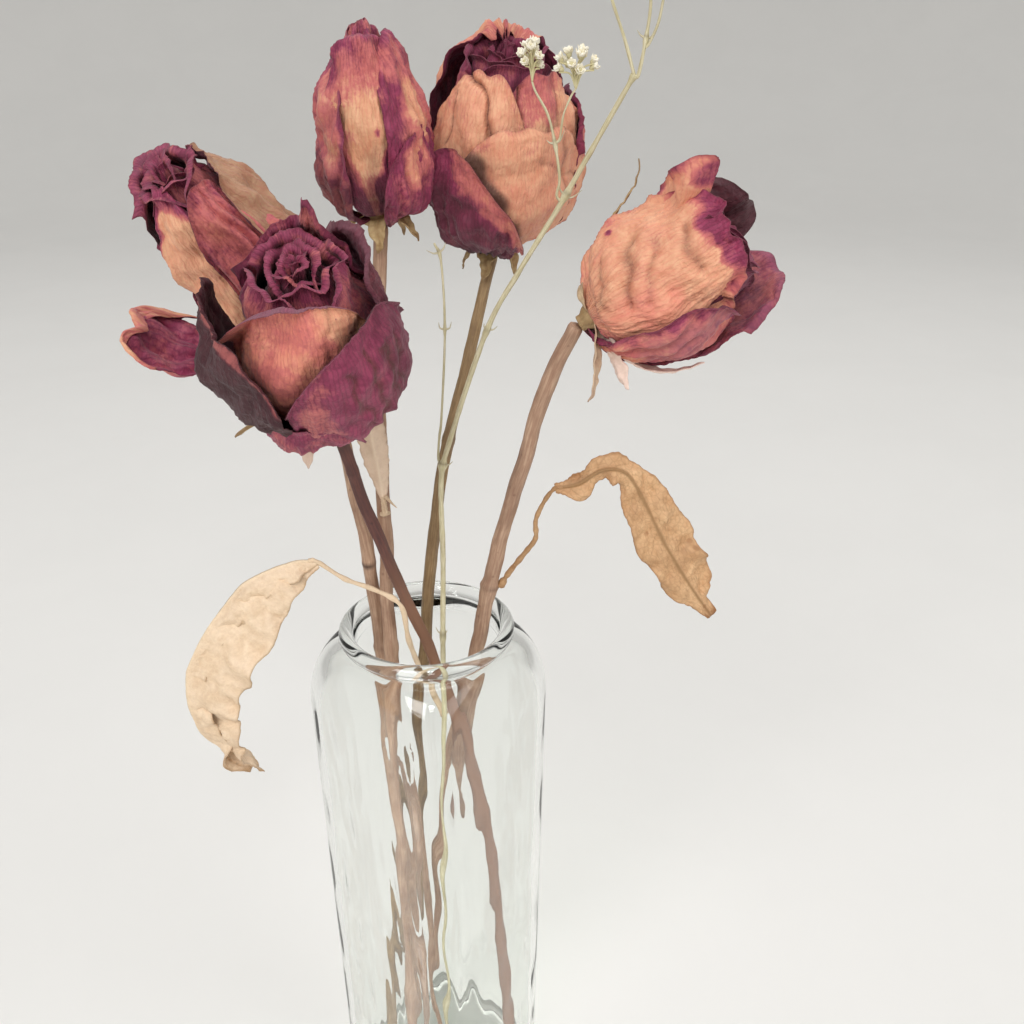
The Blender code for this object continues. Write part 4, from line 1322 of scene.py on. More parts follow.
LEFT = Rose("left_rose", 200, (-0.035, -0.011, 0.337), (-0.44, -0.4, 0.8), Bud(0.0145, 0.11, 0.047),
    (Petal("strip", -22, 40, 1, 0.06, Look(0, 0.08, 0.002, coral=0.2), -30, 0.002, tone=Tone.TAN,
            inside=TAN_IN, edge_rolls=(15, 10), breadth=0.85, droop=-3, ruffle=0.0008,
            patches=(Patch("flush", 0, 1, 1.6, 0.1, 0.75),)),
        Petal("pink_fold", 34, 34, 2.1, 0.057, Look(0.44, 0.15, tip=0.05, coral=0.7), 30, 0.003,
            inside=DEEP_IN, pleat=0.0014, pleat_spacing=0.0048, edge_rolls=(50, 40), droop=-3, swing=-1,
            breadth=1.15, ruffle=0.0006),
        Petal("grey_back", 100, 62, 3.3, 0.062, Look(0, 0.1, 0.0025, coral=0, shade=0.46), 20, 0.002,
            tone=Tone.TAN, inside=Look(0.5, grey=0.5, shade=0.3), pleat=0.0014, pleat_spacing=0.007,
            edge_rolls=(60, 30), droop=-6, notch=-0.05, peak=0.2, swing=4),
        Petal("far_side", -136, 56, 2.1, 0.057, MAGENTA_OUT, 30, -0.001, rim_width=0.0034, inside=Look(0.8),
            swing=-16, breadth=0.9, droop=-16, tuck=0.001),
        Petal("curled", -76, 22, 3.4, 0.047, Look(0.74, 0.2, tip=-0.62, coral=0.15), -165, 0.006,
            opening=46, flare=8, inside=Look(0.74, 0.2, coral=0.6), rim_width=0.006, rim_radius=0.0009,
            rim_bias=0.6, edge_rolls=(60, 20), pleat=0.001, pleat_spacing=0.0045, breadth=1.15,
            ruffle=0.0014, notch=0.08, droop=-42, swing=-20)),
    Whorl(10, 0.14, 95, 0.0038, 4, 0.55, 0.1, 0, 0.008, 60, size=1, sink=-0.003, ruffle=0.0004, outer=6),
    tuple(Sepal(azimuth, 120, 172, 0.013, 0.0022) for azimuth in (-40, 32, 104, 176, -112)),
    ((-0.002, -0.004, 0), (-0.005, -0.003, 0.06), (-0.009, -0.002, 0.12), (-0.013, -0.002, 0.18),
        (-0.0162, -0.002, 0.22), (-0.0195, -0.006, 0.272), (-0.0245, -0.009, 0.308),
        (-0.035, -0.011, 0.337)),
    0.0025, "stem_brown",
    (Mark(0.2555, 0.0002, 0.9), Mark(0.2487, dot=-10), Mark(0.2209, 0.0004, 0.8), Mark(0.11, 0.0003, 0.6)))

TALL = Rose("tall_rose", 300, (-0.0085, 0.007, 0.363), (-0.06, -0.15, 0.98), Bud(0.013, 0.085, 0.045),
    (Petal("centre", -6, 34, 1, 0.055, Look(0, 0.25, tip=0.6, coral=0.1), -60, 0.001, flare=4,
            tone=Tone.TAN, inside=TAN_IN, edge_rolls=(10, 10), breadth=1.7, swing=14, droop=-2,
            edge_drop=0.06,
            patches=(Patch("flush", 0.46, 0.46, 0.3, 0.32, 0.95, 1.8),
                Patch("flush", -0.7, 0.28, 0.3, 0.34, 0.5), Patch("flush", 0.02, 0.565, 0.06, 0.025, 0.8),
                Patch("shade", 0, 0.12, 1.4, 0.27, 0.55), Patch("flush", 0, 0.12, 1.4, 0.25, 0.45)),
            ruffle=0.0008),
        Petal("left_side", -66, 42, 2.1, 0.054, Look(0.58, 0.2, tip=0.1, grey=0.15), -30, 0.001,
            pleat=0.0008, edge_rolls=(10, 12), breadth=1.22, droop=-15, swing=-12,
            patches=(Patch("shade", 0.2, 0.2, 1.1, 0.3, 0.5), Patch("flush", 0.6, 0.75, 0.3, 0.3, -0.3))),
        Petal("right_side", 68, 56, 2.1, 0.056, Look(0.54), -30, 0.002, edge_rolls=(14, 10), breadth=1.15,
            droop=1, pleat=0.0008, swing=14,
            patches=(Patch("flush", -0.75, 0.45, 0.35, 0.35, 0.35),
                Patch("flush", -0.35, 0.62, 0.3, 0.14, -0.4), Patch("shade", 0, 0.12, 1.2, 0.24, 0.45))),
        Petal("patch", 44, 32, 3.3, 0.037, Look(0.78, 0.2, root=0.4, coral=0.6), 20, 0.001, flare=6,
            edge_rolls=(25, 20), pleat=0.0006, slant=0.3, droop=-26, breadth=1.15,
            patches=(Patch("flush", 0.1, 0.82, 0.4, 0.18, -0.5),)),
        Petal("far_side", 178, 58, 1.2, 0.054, MAGENTA_OUT, -30, droop=-5)),
    Whorl(8, 0.16, -30, 0.0024, -3, 0.45, 0.05, 0, 0.012, -30, size=0.92, ruffle=0.0012, outer=6,
        sink=0.0005),
    (Sepal(-10, 125, 176, 0.012, 0.0024), Sepal(62, 100, 165, 0.013, 0.0024),
        Sepal(134, 125, 172, 0.012, 0.0022), Sepal(-154, 125, 172, 0.012, 0.0022),
        Sepal(-82, 105, 150, 0.013, 0.0022)),
    ((-0.009, -0.02, 0), (-0.01, -0.019, 0.06), (-0.011, -0.017, 0.11), (-0.012, -0.014, 0.17),
        (-0.0125, -0.01, 0.2235), (-0.0122, -0.003, 0.2695), (-0.0118, 0.002, 0.309),
        (-0.0105, 0.005, 0.34), (-0.0085, 0.007, 0.363)),
    0.0025, "stem_brown", (Mark(0.2256, 0.0004, 0.8), Mark(0.09, 0.0003, 0.5)))

OPEN = Rose("open_rose", 400, (0.0265, 0.029, 0.35), (0.05, -0.24, 0.97), Bud(0.0203, 0.095, 0.052),
    (Petal("front_left", -24, 36, 2.5, 0.066, Look(0, 0.15), 0, 0.003, flare=-8, tone=Tone.TAN,
            inside=TAN_IN, edge_rolls=(25, 10), breadth=1.1, ruffle=0.0005,
            creases=(Crease((-0.55, 1), (0.25, 0.92), (0.3, 0.72), 0.0022, 0.0011, 1),
                Crease((-0.6, 0.88), (-0.62, 0.8), (-0.7, 0.68), 0.0008, 0.0008, 0.9))),
        Petal("front_right", 34, 46, 1.5, 0.066, Look(0, 0.2), 20, flare=-8, tone=Tone.TAN, inside=TAN_IN,
            edge_rolls=(15, 30), ruffle=0.0005, patches=(Patch("flush", -0.25, 0.92, 0.6, 0.15, 0.42),),
            creases=(Crease((-0.65, 1), (-0.6, 0.92), (-0.45, 0.84), 0.0016, 0.0009, 1),
                Crease((0.3, 1), (0.25, 0.8), (0.5, 0.6), 0.0006, 0.0009, 0.4))),
        Petal("arch", 146, 58, 1.9, 0.08, Look(0.12, coral=0.4), -75, 0.006, flare=-22, tone=Tone.TAN,
            inside=Look(0.8, shade=0.35), rim_width=0.0048, edge_rolls=(20, 20), pleat=0.0004, swing=44,
            droop=-3, breadth=1.3, ruffle=0.0006, notch=0, edge_drop=0.06, slant=0.06),
        Petal("right_side", 98, 38, 2.85, 0.061, Look(0.3, 0.4, tip=0.2, coral=0.5), 60,
            edge_rolls=(60, 30), pleat=0.0005, droop=-8),
        Petal("folded", 24, 44, 3.6, 0.056, Look(0, 0.15, coral=0.35), -25, 0.002, tone=Tone.TAN,
            inside=TAN_IN, edge_rolls=(10, 40), breadth=1.22, swing=-6,
            # Its shade patch paints the shadow along the hanging petal's edge.
            patches=(Patch("shade", -0.56, 0.7, 0.17, 0.42, 0.85, -1.2),),
            creases=(Crease((0.55, 1), (0.45, 0.8), (0.65, 0.6), 0.0007, 0.0009, 0.5),
                Crease((0.1, 0.85), (0.5, 0.74), (0.9, 0.7), 0.0006, 0.0008, 0.4))),
        Petal("hanging", -20, 42, 4.9, 0.052, Look(0.88, 0, root=0.7, coral=0.6, shade=0.5), 40, 0.009,
            inside=DEEP_IN, slant=-0.6, edge_rolls=(30, 30), pleat=0.0006, breadth=0.92, swing=5,
            patches=(Patch("shade", 0.1, 0.98, 1.4, 0.22, -0.42),
                Patch("flush", 0.3, 0.98, 1, 0.18, -0.5)))),
    Whorl(11, 0.12, 60, 0.003, 0, 0.72, 0.1, 0.16, 0.012, 80, size=0.86, sink=-0.0015, ruffle=0.0006),
    tuple(Sepal(azimuth, 120, 172, 0.013, 0.0024) for azimuth in (-20, 52, 124, -164, -92)),
    ((-0.022, 0.006, 0), (-0.018, 0.008, 0.06), (-0.012, 0.009, 0.12), (-0.005, 0.008, 0.18),
        (0, 0.006, 0.2257), (0.005, 0.01, 0.267), (0.0135, 0.019, 0.3025), (0.0205, 0.0245, 0.327),
        (0.0265, 0.029, 0.35)),
    0.0023, "stem_olive", (Mark(0.2321, dot=0), Mark(0.29, 0.0003, 0.4), Mark(0.13, 0.0003, 0.5)),
    sink=0.001)

RIGHT = Rose("right_rose", 500, (0.0465, -0.029, 0.341), (0.84, -0.12, 0.53), Bud(0.017, 0.085, 0.038),
    (Petal("broad", -14, 76, 1.2, 0.051, Look(0, 0.2, 0.003), 50, tone=Tone.TAN, inside=TAN_IN,
            rim_width=0.003, edge_rolls=(30, 10), notch=0.03, swing=-5, breadth=0.97, ruffle=0.0012,
            ragged=0.0012,
            patches=(Patch("flush", -0.15, 1, 0.65, 0.14, 0.85),
                Patch("flush", -0.78, 0.52, 0.035, 0.024, 0.8), Patch("coral", 0.5, 0.35, 0.5, 0.3, 0.3),
                Patch("flush", 0.9, 0.4, 0.25, 0.5, 0.3)),
            rows=110, columns=130,
            creases=(Crease((-0.5, 0.56), (-0.3, 0.45), (0.14, 0.38), 0.0016, 0.0017, 0.6),
                Crease((-0.36, 0.64), (-0.1, 0.54), (0.25, 0.5), 0.001, 0.0016, 0.35),
                Crease((-0.32, 0.8), (-0.05, 0.74), (0.2, 0.78), 0.0013, 0.0016, 0.5),
                Crease((-0.55, 0.36), (-0.3, 0.3), (0, 0.24), 0.0008, 0.0013, 0.4),
                Crease((0.8, 0.86), (0.72, 0.62), (0.66, 0.4), 0.0012, 0.0014, 0.7))),
        Petal("top", -112, 30, 2.6, 0.052, Look(0.05, 0.7, 0.0035, coral=0.5), 25, 0.001, flare=22,
            inside=Look(0.85, shade=0.1), edge_rolls=(30, 0), swing=32, droop=76, ruffle=0.001, tuck=0.004,
            breadth=1.4, notch=0.06, edge_drop=0.06, slant=0.36, curls=(Curl(0.1, 0.5, 0, 0.0045, -75),)),
        Petal("dark_end", 176, 60, 1.2, 0.058, DEEP_OUT, 30, 0.0036, opening=4, tone=Tone.DARK,
            inside=DEEP_IN, ruffle=0.002, droop=14, swing=4, breadth=0.48, pleat=0.001, notch=0.03),
        Petal("mauve", 122, 36, 4, 0.062, Look(0.7, 0.2, coral=0.8, grey=0.3), 55, 0.004, opening=4,
            flare=6, inside=Look(0.62, 0.2, grey=0.35, shade=0.05)),
        Petal("frill", 58, 38, 2.8, 0.042, Look(0.45, 0.4, coral=0.6), 60, 0.004, flare=4, ruffle=0.001,
            pleat=0.0008, edge_rolls=(30, 40), breadth=1.25, swing=3, droop=-8,
            patches=(Patch("flush", 0, 0.2, 1, 0.2, -0.3), Patch("grey", -0.2, 0.7, 0.6, 0.3, 0.4)))),
    Whorl(9, 0.14, 80, 0.0024, 4, 1, 0, 0.45),
    (Sepal(35, 111, 117, 0.0245, 0.0022, 0.3, hook=10),
        Sepal(59, 100, 84, 0.0205, 0.0042, 0.95, twist=55, breadth=1.35),
        Sepal(86, 96, -3, 0.037, 0.0018, 1, breadth=1.4, sag=4), Sepal(-62, 108, 40, 0.012, 0.002, 0.2),
        Sepal(-110, 92, -2, 0.043, 0.0014, hook=100, sag=-20)),
    ((-0.009, 0.018, 0), (-0.004, 0.014, 0.06), (0.003, 0.008, 0.125), (0.0105, 0.001, 0.18),
        (0.0174, -0.006, 0.223), (0.0247, -0.013, 0.266), (0.0334, -0.02, 0.303), (0.0399, -0.025, 0.3263),
        (0.0465, -0.029, 0.341)),
    0.0028, "stem_brown",
    (Mark(0.2475, 0.0007, 0.5), Mark(0.244, 0.0004, 0.8, 10), Mark(0.12, 0.0003, 0.5)))


# ---- leaves


@dataclass(frozen=True)
class Leaf:
    """A dry leaf: a thin stalk and a blade whose halves fold about the midrib.

    The solid's blade runs along the knots with the half widths. shift moves the midrib across
    it, and each half leaves the midrib at an angle from the across axis, one for each knot.
    """

    name: str
    seed: int
    stalk: tuple
    blade: tuple
    half_widths: tuple
    face: tuple
    slot: str
    shift: float  # the midrib's place across the blade, -1 to 1
    near: tuple  # angle of the half that lies towards -across
    far: tuple  # angle of the half that lies towards +across
    near_widths: tuple
    far_widths: tuple
    twist: float = 0
    buckle: float = 0.001
    vein_spacing: float = 0.0042
    teeth: float = 0.0005
    scallop: float = 0.1  # how unevenly wide it is towards its edges, as a share
    bleach: float = 0
    spikes: tuple = ()

    def build(self, finish: Material) -> None:
        """Build the stalk, midrib and blade as one piece in place of the solid."""
        parts = MeshParts(*LEAF_VALUES)
        rows, seed = 132, self.seed
        place = np.linspace(0, len(self.blade) - 1, rows)
        knots = np.arange(len(self.blade))
        share = shares(rows)
        p = np.linspace(-1, 1, 61)[None, :]
        route = smooth_route(self.blade, rows)
        along = unit(np.gradient(route, axis=0))
        across = unit(np.cross(along, np.array(self.face, float)))
        out = np.cross(across, along)
        spin = np.radians(self.twist) * ease((share - 0.62) / 0.38)
        across, out = across * np.cos(spin) + out * np.sin(spin), out * np.cos(spin) - across * np.sin(spin)
        half, near, far, near_width, far_width = (
            np.interp(place, knots, values)[:, None]
            for values in (self.half_widths, self.near, self.far, self.near_widths, self.far_widths))
        midrib = route + across * half * self.shift
        edge = waves(share * 4, 0.55, seed)[:, None]
        teeth = 0.5 - np.abs((share * 34) % 1 - 0.5)
        reach = np.where(p < 0, near_width, far_width)
        width = np.abs(p) * (reach * (1 + self.scallop * edge * np.abs(p)) + self.teeth * teeth * p ** 2)
        angle = np.radians(np.where(p < 0, near, far))
        points = (midrib[:, None] + across[:, None] * (width * np.cos(angle))[..., None]
                  + out[:, None] * (width * np.sin(angle))[..., None])
        own = join(np.sign(p) * width, lengths(midrib)[:, None])
        slanted = (own[..., 1] - 0.95 * width + 0.0006 * waves(own, 0.01, seed + 2)) / self.vein_spacing
        slanted = slanted + 0.5 * (p < 0)
        away = np.abs(slanted % 1 - 0.5) * 2
        side_vein = ease((away - 0.86) / 0.14) * ease(1.3 - np.abs(p)) * ease(width / 0.001)
        pillow = np.sin(pi * slanted) ** 2 * ease(width / 0.002)
        free = ease(width / 0.003)
        wrinkles = (waves(own, 0.016, seed + 3) + 0.45 * waves(own, 0.007, seed + 4)
                    + 0.22 * ridges(own, 0.0038, seed + 5)
                    + 1.2 * np.abs(p) ** 3 * waves(own * (0.2, 1), 0.011, seed + 6))
        move = self.buckle * wrinkles * free - 0.0002 * pillow - 0.00018 * side_vein
        rib = bell(width, 0.00055)
        margin = ease(1 - (1 - np.abs(p)) * reach / 0.0007)
        brown = 0.55 * margin + 0.45 * ease((share - 0.93) / 0.07)
        points = points + normals_of(points) * move[..., None]
        parts.add_sheet(points, 0.0003 + 0.0009 * rib * (1 - 0.75 * share),
                        join(own[..., 0], own[..., 1], 0.011 * seed), rib=np.maximum(rib, 0.55 * side_vein),
                        shade=np.clip(brown, 0, 0.8), bleach=self.bleach)
        self.add_stalk(parts, midrib)
        parts.place(f"{self.name}_blade", finish, self.slot, self.name)

    def add_stalk(self, parts: MeshParts, midrib: Array) -> None:
        """Add the stalk as a tube that runs on into the midrib, and any spikes at its foot."""
        path = smooth_route((*self.stalk, tuple(midrib[0]), tuple(midrib[7])), 110)
        share = shares(110)
        angle = turns(14)
        radius = (0.00095 - 0.00035 * share) * (1 + 0.1 * np.cos(3 * angle)
                                                + 0.1 * waves(share * 6, 0.5, self.seed + 8)[:, None])
        radius = radius * (1 + 0.8 * bell(share, 0.03))
        parts.add_tube(path, radius, 0.2, rib=0.4, shade=0.15 + 0.2 * ease(0.3 - share))
        for base, tip, thick in self.spikes:
            line = smooth_route((base, tuple((np.array(base) + tip) / 2 + (0, -0.0003, 0)), tip), 20)
            taper = thick * (1 - 0.8 * shares(20))
            parts.add_tube(line, taper * (1 + 0.12 * np.cos(4 * angle)), 0.4, shade=0.1)


LEFT_LEAF = Leaf("left_leaf", 610,
    ((0.0047, -0.009, 0.197), (-0.001, -0.014, 0.213), (-0.006, -0.0205, 0.234), (-0.008, -0.0245, 0.25),
        (-0.0158, -0.0245, 0.2562), (-0.0246, -0.027, 0.262)),
    ((-0.0318, -0.03, 0.2685), (-0.0385, -0.031, 0.266), (-0.0475, -0.033, 0.258), (-0.0552, -0.035, 0.247),
        (-0.0635, -0.036, 0.233), (-0.0665, -0.036, 0.218), (-0.0635, -0.034, 0.207),
        (-0.057, -0.033, 0.199)),
    (0.0012, 0.0036, 0.0078, 0.0092, 0.009, 0.006, 0.0048, 0.0006), (0.1, -0.9, 0.3), "leaf_pale",
    shift=1.25, near=(180, 178, 176, 172, 170, 172, 165, 150), far=(168, 166, 172, 184, 190, 180, 130, 90),
    near_widths=(0.002, 0.0082, 0.0164, 0.0196, 0.0186, 0.014, 0.014, 0.009),
    far_widths=(0.001, 0.006, 0.008, 0.007, 0.006, 0.007, 0.008, 0.004), twist=-60, buckle=0.0008,
    teeth=0.0002, scallop=0.04)

RIGHT_LEAF = Leaf("right_leaf", 620,
    ((0.025, -0.01, 0.2475), (0.028, -0.0117, 0.2535), (0.0328, -0.014, 0.2615), (0.0358, -0.016, 0.2675),
        (0.0356, -0.018, 0.275), (0.0382, -0.02, 0.2827)),
    ((0.041, -0.022, 0.2876), (0.0475, -0.0235, 0.2895), (0.055, -0.025, 0.2945), (0.0625, -0.0262, 0.2935),
        (0.069, -0.027, 0.2835), (0.0765, -0.028, 0.269), (0.0855, -0.028, 0.2535),
        (0.0925, -0.027, 0.242)),
    (0.001, 0.0032, 0.0028, 0.0036, 0.0066, 0.0095, 0.007, 0.0008), (-0.1, -0.9, 0.4), "leaf_tan",
    shift=0.1, near=(180, 200, 215, 205, 190, 186, 188, 180), far=(0, -25, -35, -25, -12, -8, -10, 0),
    near_widths=(0.0012, 0.0036, 0.004, 0.0048, 0.008, 0.0104, 0.0078, 0.0008),
    far_widths=(0.0012, 0.0046, 0.003, 0.004, 0.007, 0.0088, 0.0062, 0.0008), twist=14)

LEAF_STUB = Leaf("leaf_stub", 630, ((-0.012, -0.0054, 0.2735), (-0.0121, -0.0057, 0.276)),
    ((-0.0123, -0.006, 0.279), (-0.0129, -0.0066, 0.286), (-0.014, -0.008, 0.295),
        (-0.015, -0.0095, 0.305)),
    (0.001, 0.0022, 0.0032, 0.0036), (0, -1, 0.2), "leaf_pale", shift=0, near=(180, 198, 200, 195),
    far=(0, -18, -20, -15), near_widths=(0.0008, 0.003, 0.0044, 0.0048),
    far_widths=(0.001, 0.0032, 0.0046, 0.0048), buckle=0.0002, vein_spacing=0.008, teeth=0, scallop=0.03,
    bleach=0.3,
    spikes=(((-0.0116, -0.0062, 0.28), (-0.008, -0.008, 0.2765), 0.0006),
        ((-0.0122, -0.0062, 0.279), (-0.0112, -0.0072, 0.2738), 0.0006)))


# ---- gypsophila


@dataclass(frozen=True)
class Twig:
    """One length of the gypsophila, from its lower to its upper end."""

    name: str
    knots: tuple
    radius: float
    nodes: tuple = ()  # (height, swelling in metres) pairs
    foot: tuple = ()  # where its foot joins the twig that bears it

    def build(self, finish: Material, seed: int) -> None:
        """Build the twig as a tube, swollen at its nodes, with a pair of scale leaves at each."""
        parts = MeshParts(*STALK_VALUES)
        rows, columns = (70, 12) if self.foot else (260, 16)
        path = smooth_route((self.foot, *self.knots) if self.foot else self.knots, rows)
        radius = SHRUNK_TWIG * self.radius * (1 - 0.3 * shares(rows))
        radius = radius * (1 + 0.05 * np.cos(4 * turns(columns))
                           + 0.05 * waves(path / 0.006, 1, seed)[:, None])
        dark = np.zeros(radius.shape)
        height = path[:, 2:3]
        for node, swelling in self.nodes:
            radius = radius + swelling * bell(height - node, 0.0013)
            dark = np.maximum(dark, 0.45 * bell(height - node - 0.0008, 0.0004))
        parts.add_tube(path, radius, 0.019 * seed, mark=dark)
        for number, (node, _) in enumerate(self.nodes):
            row = int(np.argmin(np.abs(path[:, 2] - node)))
            for side in (-1, 1):
                self.add_scale(parts, path, row, side, seed + number)
        parts.place(f"{self.name}_shoot", finish, "sprig_stem", self.name)

    def add_scale(self, parts: MeshParts, path: Array, row: int, side: int, seed: int) -> None:
        """Add a withered scale leaf: a short pointed spur that leans away from the twig."""
        draw = np.random.default_rng(seed + side)
        along = unit(path[min(row + 3, len(path) - 1)] - path[row])
        away = unit(np.cross(along, (0, -1, 0.15))) * side
        long = draw.uniform(0.0022, 0.0042)
        base = path[row]
        tip = base + away * long * draw.uniform(0.5, 0.9) + along * long * draw.uniform(0.4, 0.9)
        middle = base + away * long * 0.45 + along * long * 0.15
        taper = 0.0004 * (1 - 0.85 * shares(14))
        parts.add_tube(smooth_route((base, middle, tip), 14), np.broadcast_to(taper, (14, 8)), 0.3,
                       mark=0.25, pale=0.2)


@dataclass(frozen=True)
class FlowerHead:
    """A head of tiny flowers inside an ellipsoid, on stalks from its twig's end."""

    name: str
    centre: tuple
    half_size: tuple
    root: tuple
    count: int
    seed: int

    def build(self, blossom: Material) -> None:
        """Build the head as one piece in place of its solid.

        Flowers stand at spiral points of the upper ellipsoid: the k-th at height
        1 - 1.45 (k + 0.5) / count and at the golden angle times k.
        """
        parts = MeshParts("shade")
        draw = np.random.default_rng(self.seed)
        for number in range(self.count):
            level = 1 - 1.45 * (number + 0.5) / self.count
            turn = GOLDEN_ANGLE * number + draw.uniform(-0.4, 0.4)
            direction = polar(sqrt(max(1 - level * level, 0)), turn, level)
            size = draw.uniform(0.0015, 0.0019)
            centre = np.array(self.centre) + direction * (np.array(self.half_size) - size * 0.7)
            self.add_stalk(parts, centre, size)
            self.add_blossom(parts, centre, unit(direction + (0, -0.2, 0.7)), size, draw)
        parts.place(f"{self.name}_blossoms", blossom, "sprig_flowers", self.name)

    def add_stalk(self, parts: MeshParts, centre: Array, size: float) -> None:
        """Add the thread-like stalk from the head's root to a flower."""
        root = np.array(self.root)
        run = centre - root
        bend = root + run * (0.35, 0.35, 0.5) + (0, 0, 0.15 * np.linalg.norm(run))
        line = smooth_route((root, bend, centre - (0, 0, size * 0.6)), 14)
        parts.add_tube(line, np.full((14, 7), 0.00022), 0.1, shade=0.85)

    def add_blossom(self, parts: MeshParts, centre: Array, axis: Array, size: float,
                    draw: np.random.Generator) -> None:
        """Add a cup and two rings of shrivelled petals.

        Along a petal, t from 0 to 1, the distance from the axis is size (0.15 + lean sin 1.5t) and
        the height size (0.95 t - 0.3); its half width is size 0.46 sin(pi (0.15 + 0.72 t)).

        Args:
            parts: the mesh to add to.
            centre: the flower's middle.
            axis: the direction that it faces.
            size: its height.
            draw: draws how each petal differs.
        """
        side = unit(np.cross(axis, (0.3, 0.9, 0.1)))
        up = np.cross(axis, side)
        level = np.linspace(-1, 0.1, 7)[:, None]
        cup = size * 0.42 * np.sqrt(np.maximum(1 - level ** 2 * 0.95, 0.03))
        parts.add_tube(centre + axis * level * size * 0.8, np.broadcast_to(cup, (7, 8)), 0.1, shade=0.8)
        t = shares(5)
        u = np.linspace(-1, 1, 5)[None, :]
        for number in range(9):
            turn = FIFTH_OF_TURN * number + draw.uniform(-0.25, 0.25)
            lean = (0.56 if number < 5 else 0.28) * draw.uniform(0.8, 1.2)
            reach = size * (0.15 + lean * np.sin(1.5 * t)) * (1 - 0.12 * u ** 2)
            height = size * (0.95 * draw.uniform(0.8, 1.1) * t - 0.3 - 0.15 * u ** 2 * t)
            wide = size * 0.46 * np.sin(pi * (0.15 + 0.72 * t)) * u
            wide = wide + size * 0.06 * np.sin(5 * t + number)
            radial = side * cos(turn) + up * sin(turn)
            across = up * cos(turn) - side * sin(turn)
            points = (centre + radial * reach[..., None] + across * wide[..., None]
                      + axis * height[..., None])
            parts.add_sheet(points, 0.00016, 0, shade=0.5 * (1 - t) ** 2)


SHOOTS = (Twig("sprig_stem",
        ((0.002, -0.015, CUT_HEIGHT + 0.0002), (0.003, -0.016, 0.09), (0.004, -0.016, 0.16),
            (0.005, -0.016, 0.2251), (0.006, -0.018, 0.2622), (0.0062, -0.0192, 0.29),
            (0.0092, -0.02, 0.3038), (0.0204, -0.024, 0.3383), (0.0294, -0.027, 0.3556),
            (0.0397, -0.03, 0.3732), (0.0492, -0.033, 0.3908), (0.0568, -0.0358, 0.405)),
        0.00115, ((0.2329, 0.0005), (0.2955, 0.0007), (0.338, 0.0003), (0.3757, 0.0005), (0.405, 0.0005))),
    Twig("side_shoot",
        ((0.0056, -0.0184, 0.2975), (0.0061, -0.018, 0.304), (0.007, -0.0175, 0.311),
            (0.0088, -0.014, 0.336), (0.0084, -0.0095, 0.3546), (0.0066, -0.009, 0.3599)),
        0.0005, nodes=((0.336, 0.0002), (0.357, 0.0003)), foot=(0.0066, -0.0193, 0.294)),
    Twig("flower_twig",
        ((0.0386, -0.0312, 0.3759), (0.0392, -0.0316, 0.38), (0.0379, -0.0315, 0.3884),
            (0.036, -0.031, 0.3955), (0.0329, -0.0305, 0.4009), (0.032, -0.03, 0.4033)),
        0.0005, nodes=((0.3884, 0.0003),), foot=(0.04, -0.0302, 0.3738)),
    Twig("flower_fork",
        ((0.039, -0.0318, 0.39), (0.0397, -0.033, 0.3957), (0.0414, -0.0335, 0.4),
            (0.0425, -0.034, 0.4018)),
        0.0004, foot=(0.0378, -0.0315, 0.3888)),
    Twig("top_twig_left",
        ((0.0564, -0.0359, 0.4059), (0.0538, -0.037, 0.4129), (0.0501, -0.038, 0.4215),
            (0.0468, -0.038, 0.431)),
        0.0006, foot=(0.0568, -0.0358, 0.4049)),
    Twig("top_twig_middle",
        ((0.0578, -0.0361, 0.4053), (0.0591, -0.037, 0.414), (0.0597, -0.037, 0.4216),
            (0.0587, -0.036, 0.4301)),
        0.0006, nodes=((0.413, 0.0003),), foot=(0.0568, -0.0358, 0.4047)),
    Twig("top_twig_right",
        ((0.0599, -0.0371, 0.4123), (0.0612, -0.0395, 0.4165), (0.0618, -0.041, 0.4215),
            (0.0626, -0.043, 0.4297)),
        0.0005, foot=(0.0589, -0.0369, 0.4112)))

HEADS = (FlowerHead("flowers_left", (0.0317, -0.03, 0.4088), (0.0036, 0.0034, 0.0052),
        (0.032, -0.03, 0.4033), 9, 901),
    FlowerHead("flowers_right", (0.0424, -0.034, 0.4072), (0.0058, 0.004, 0.005), (0.0425, -0.034, 0.4018),
        12, 902),
    FlowerHead("top_flowers_left", (0.0456, -0.038, 0.435), (0.004, 0.0036, 0.0036),
        (0.0468, -0.038, 0.431), 8, 903),
    FlowerHead("top_flowers_middle", (0.0578, -0.0358, 0.4342), (0.0038, 0.0036, 0.0038),
        (0.0587, -0.036, 0.4301), 8, 904),
    FlowerHead("top_flowers_right", (0.0632, -0.0444, 0.4335), (0.0036, 0.0034, 0.0036),
        (0.0626, -0.043, 0.4297), 8, 905))


# ---- vase


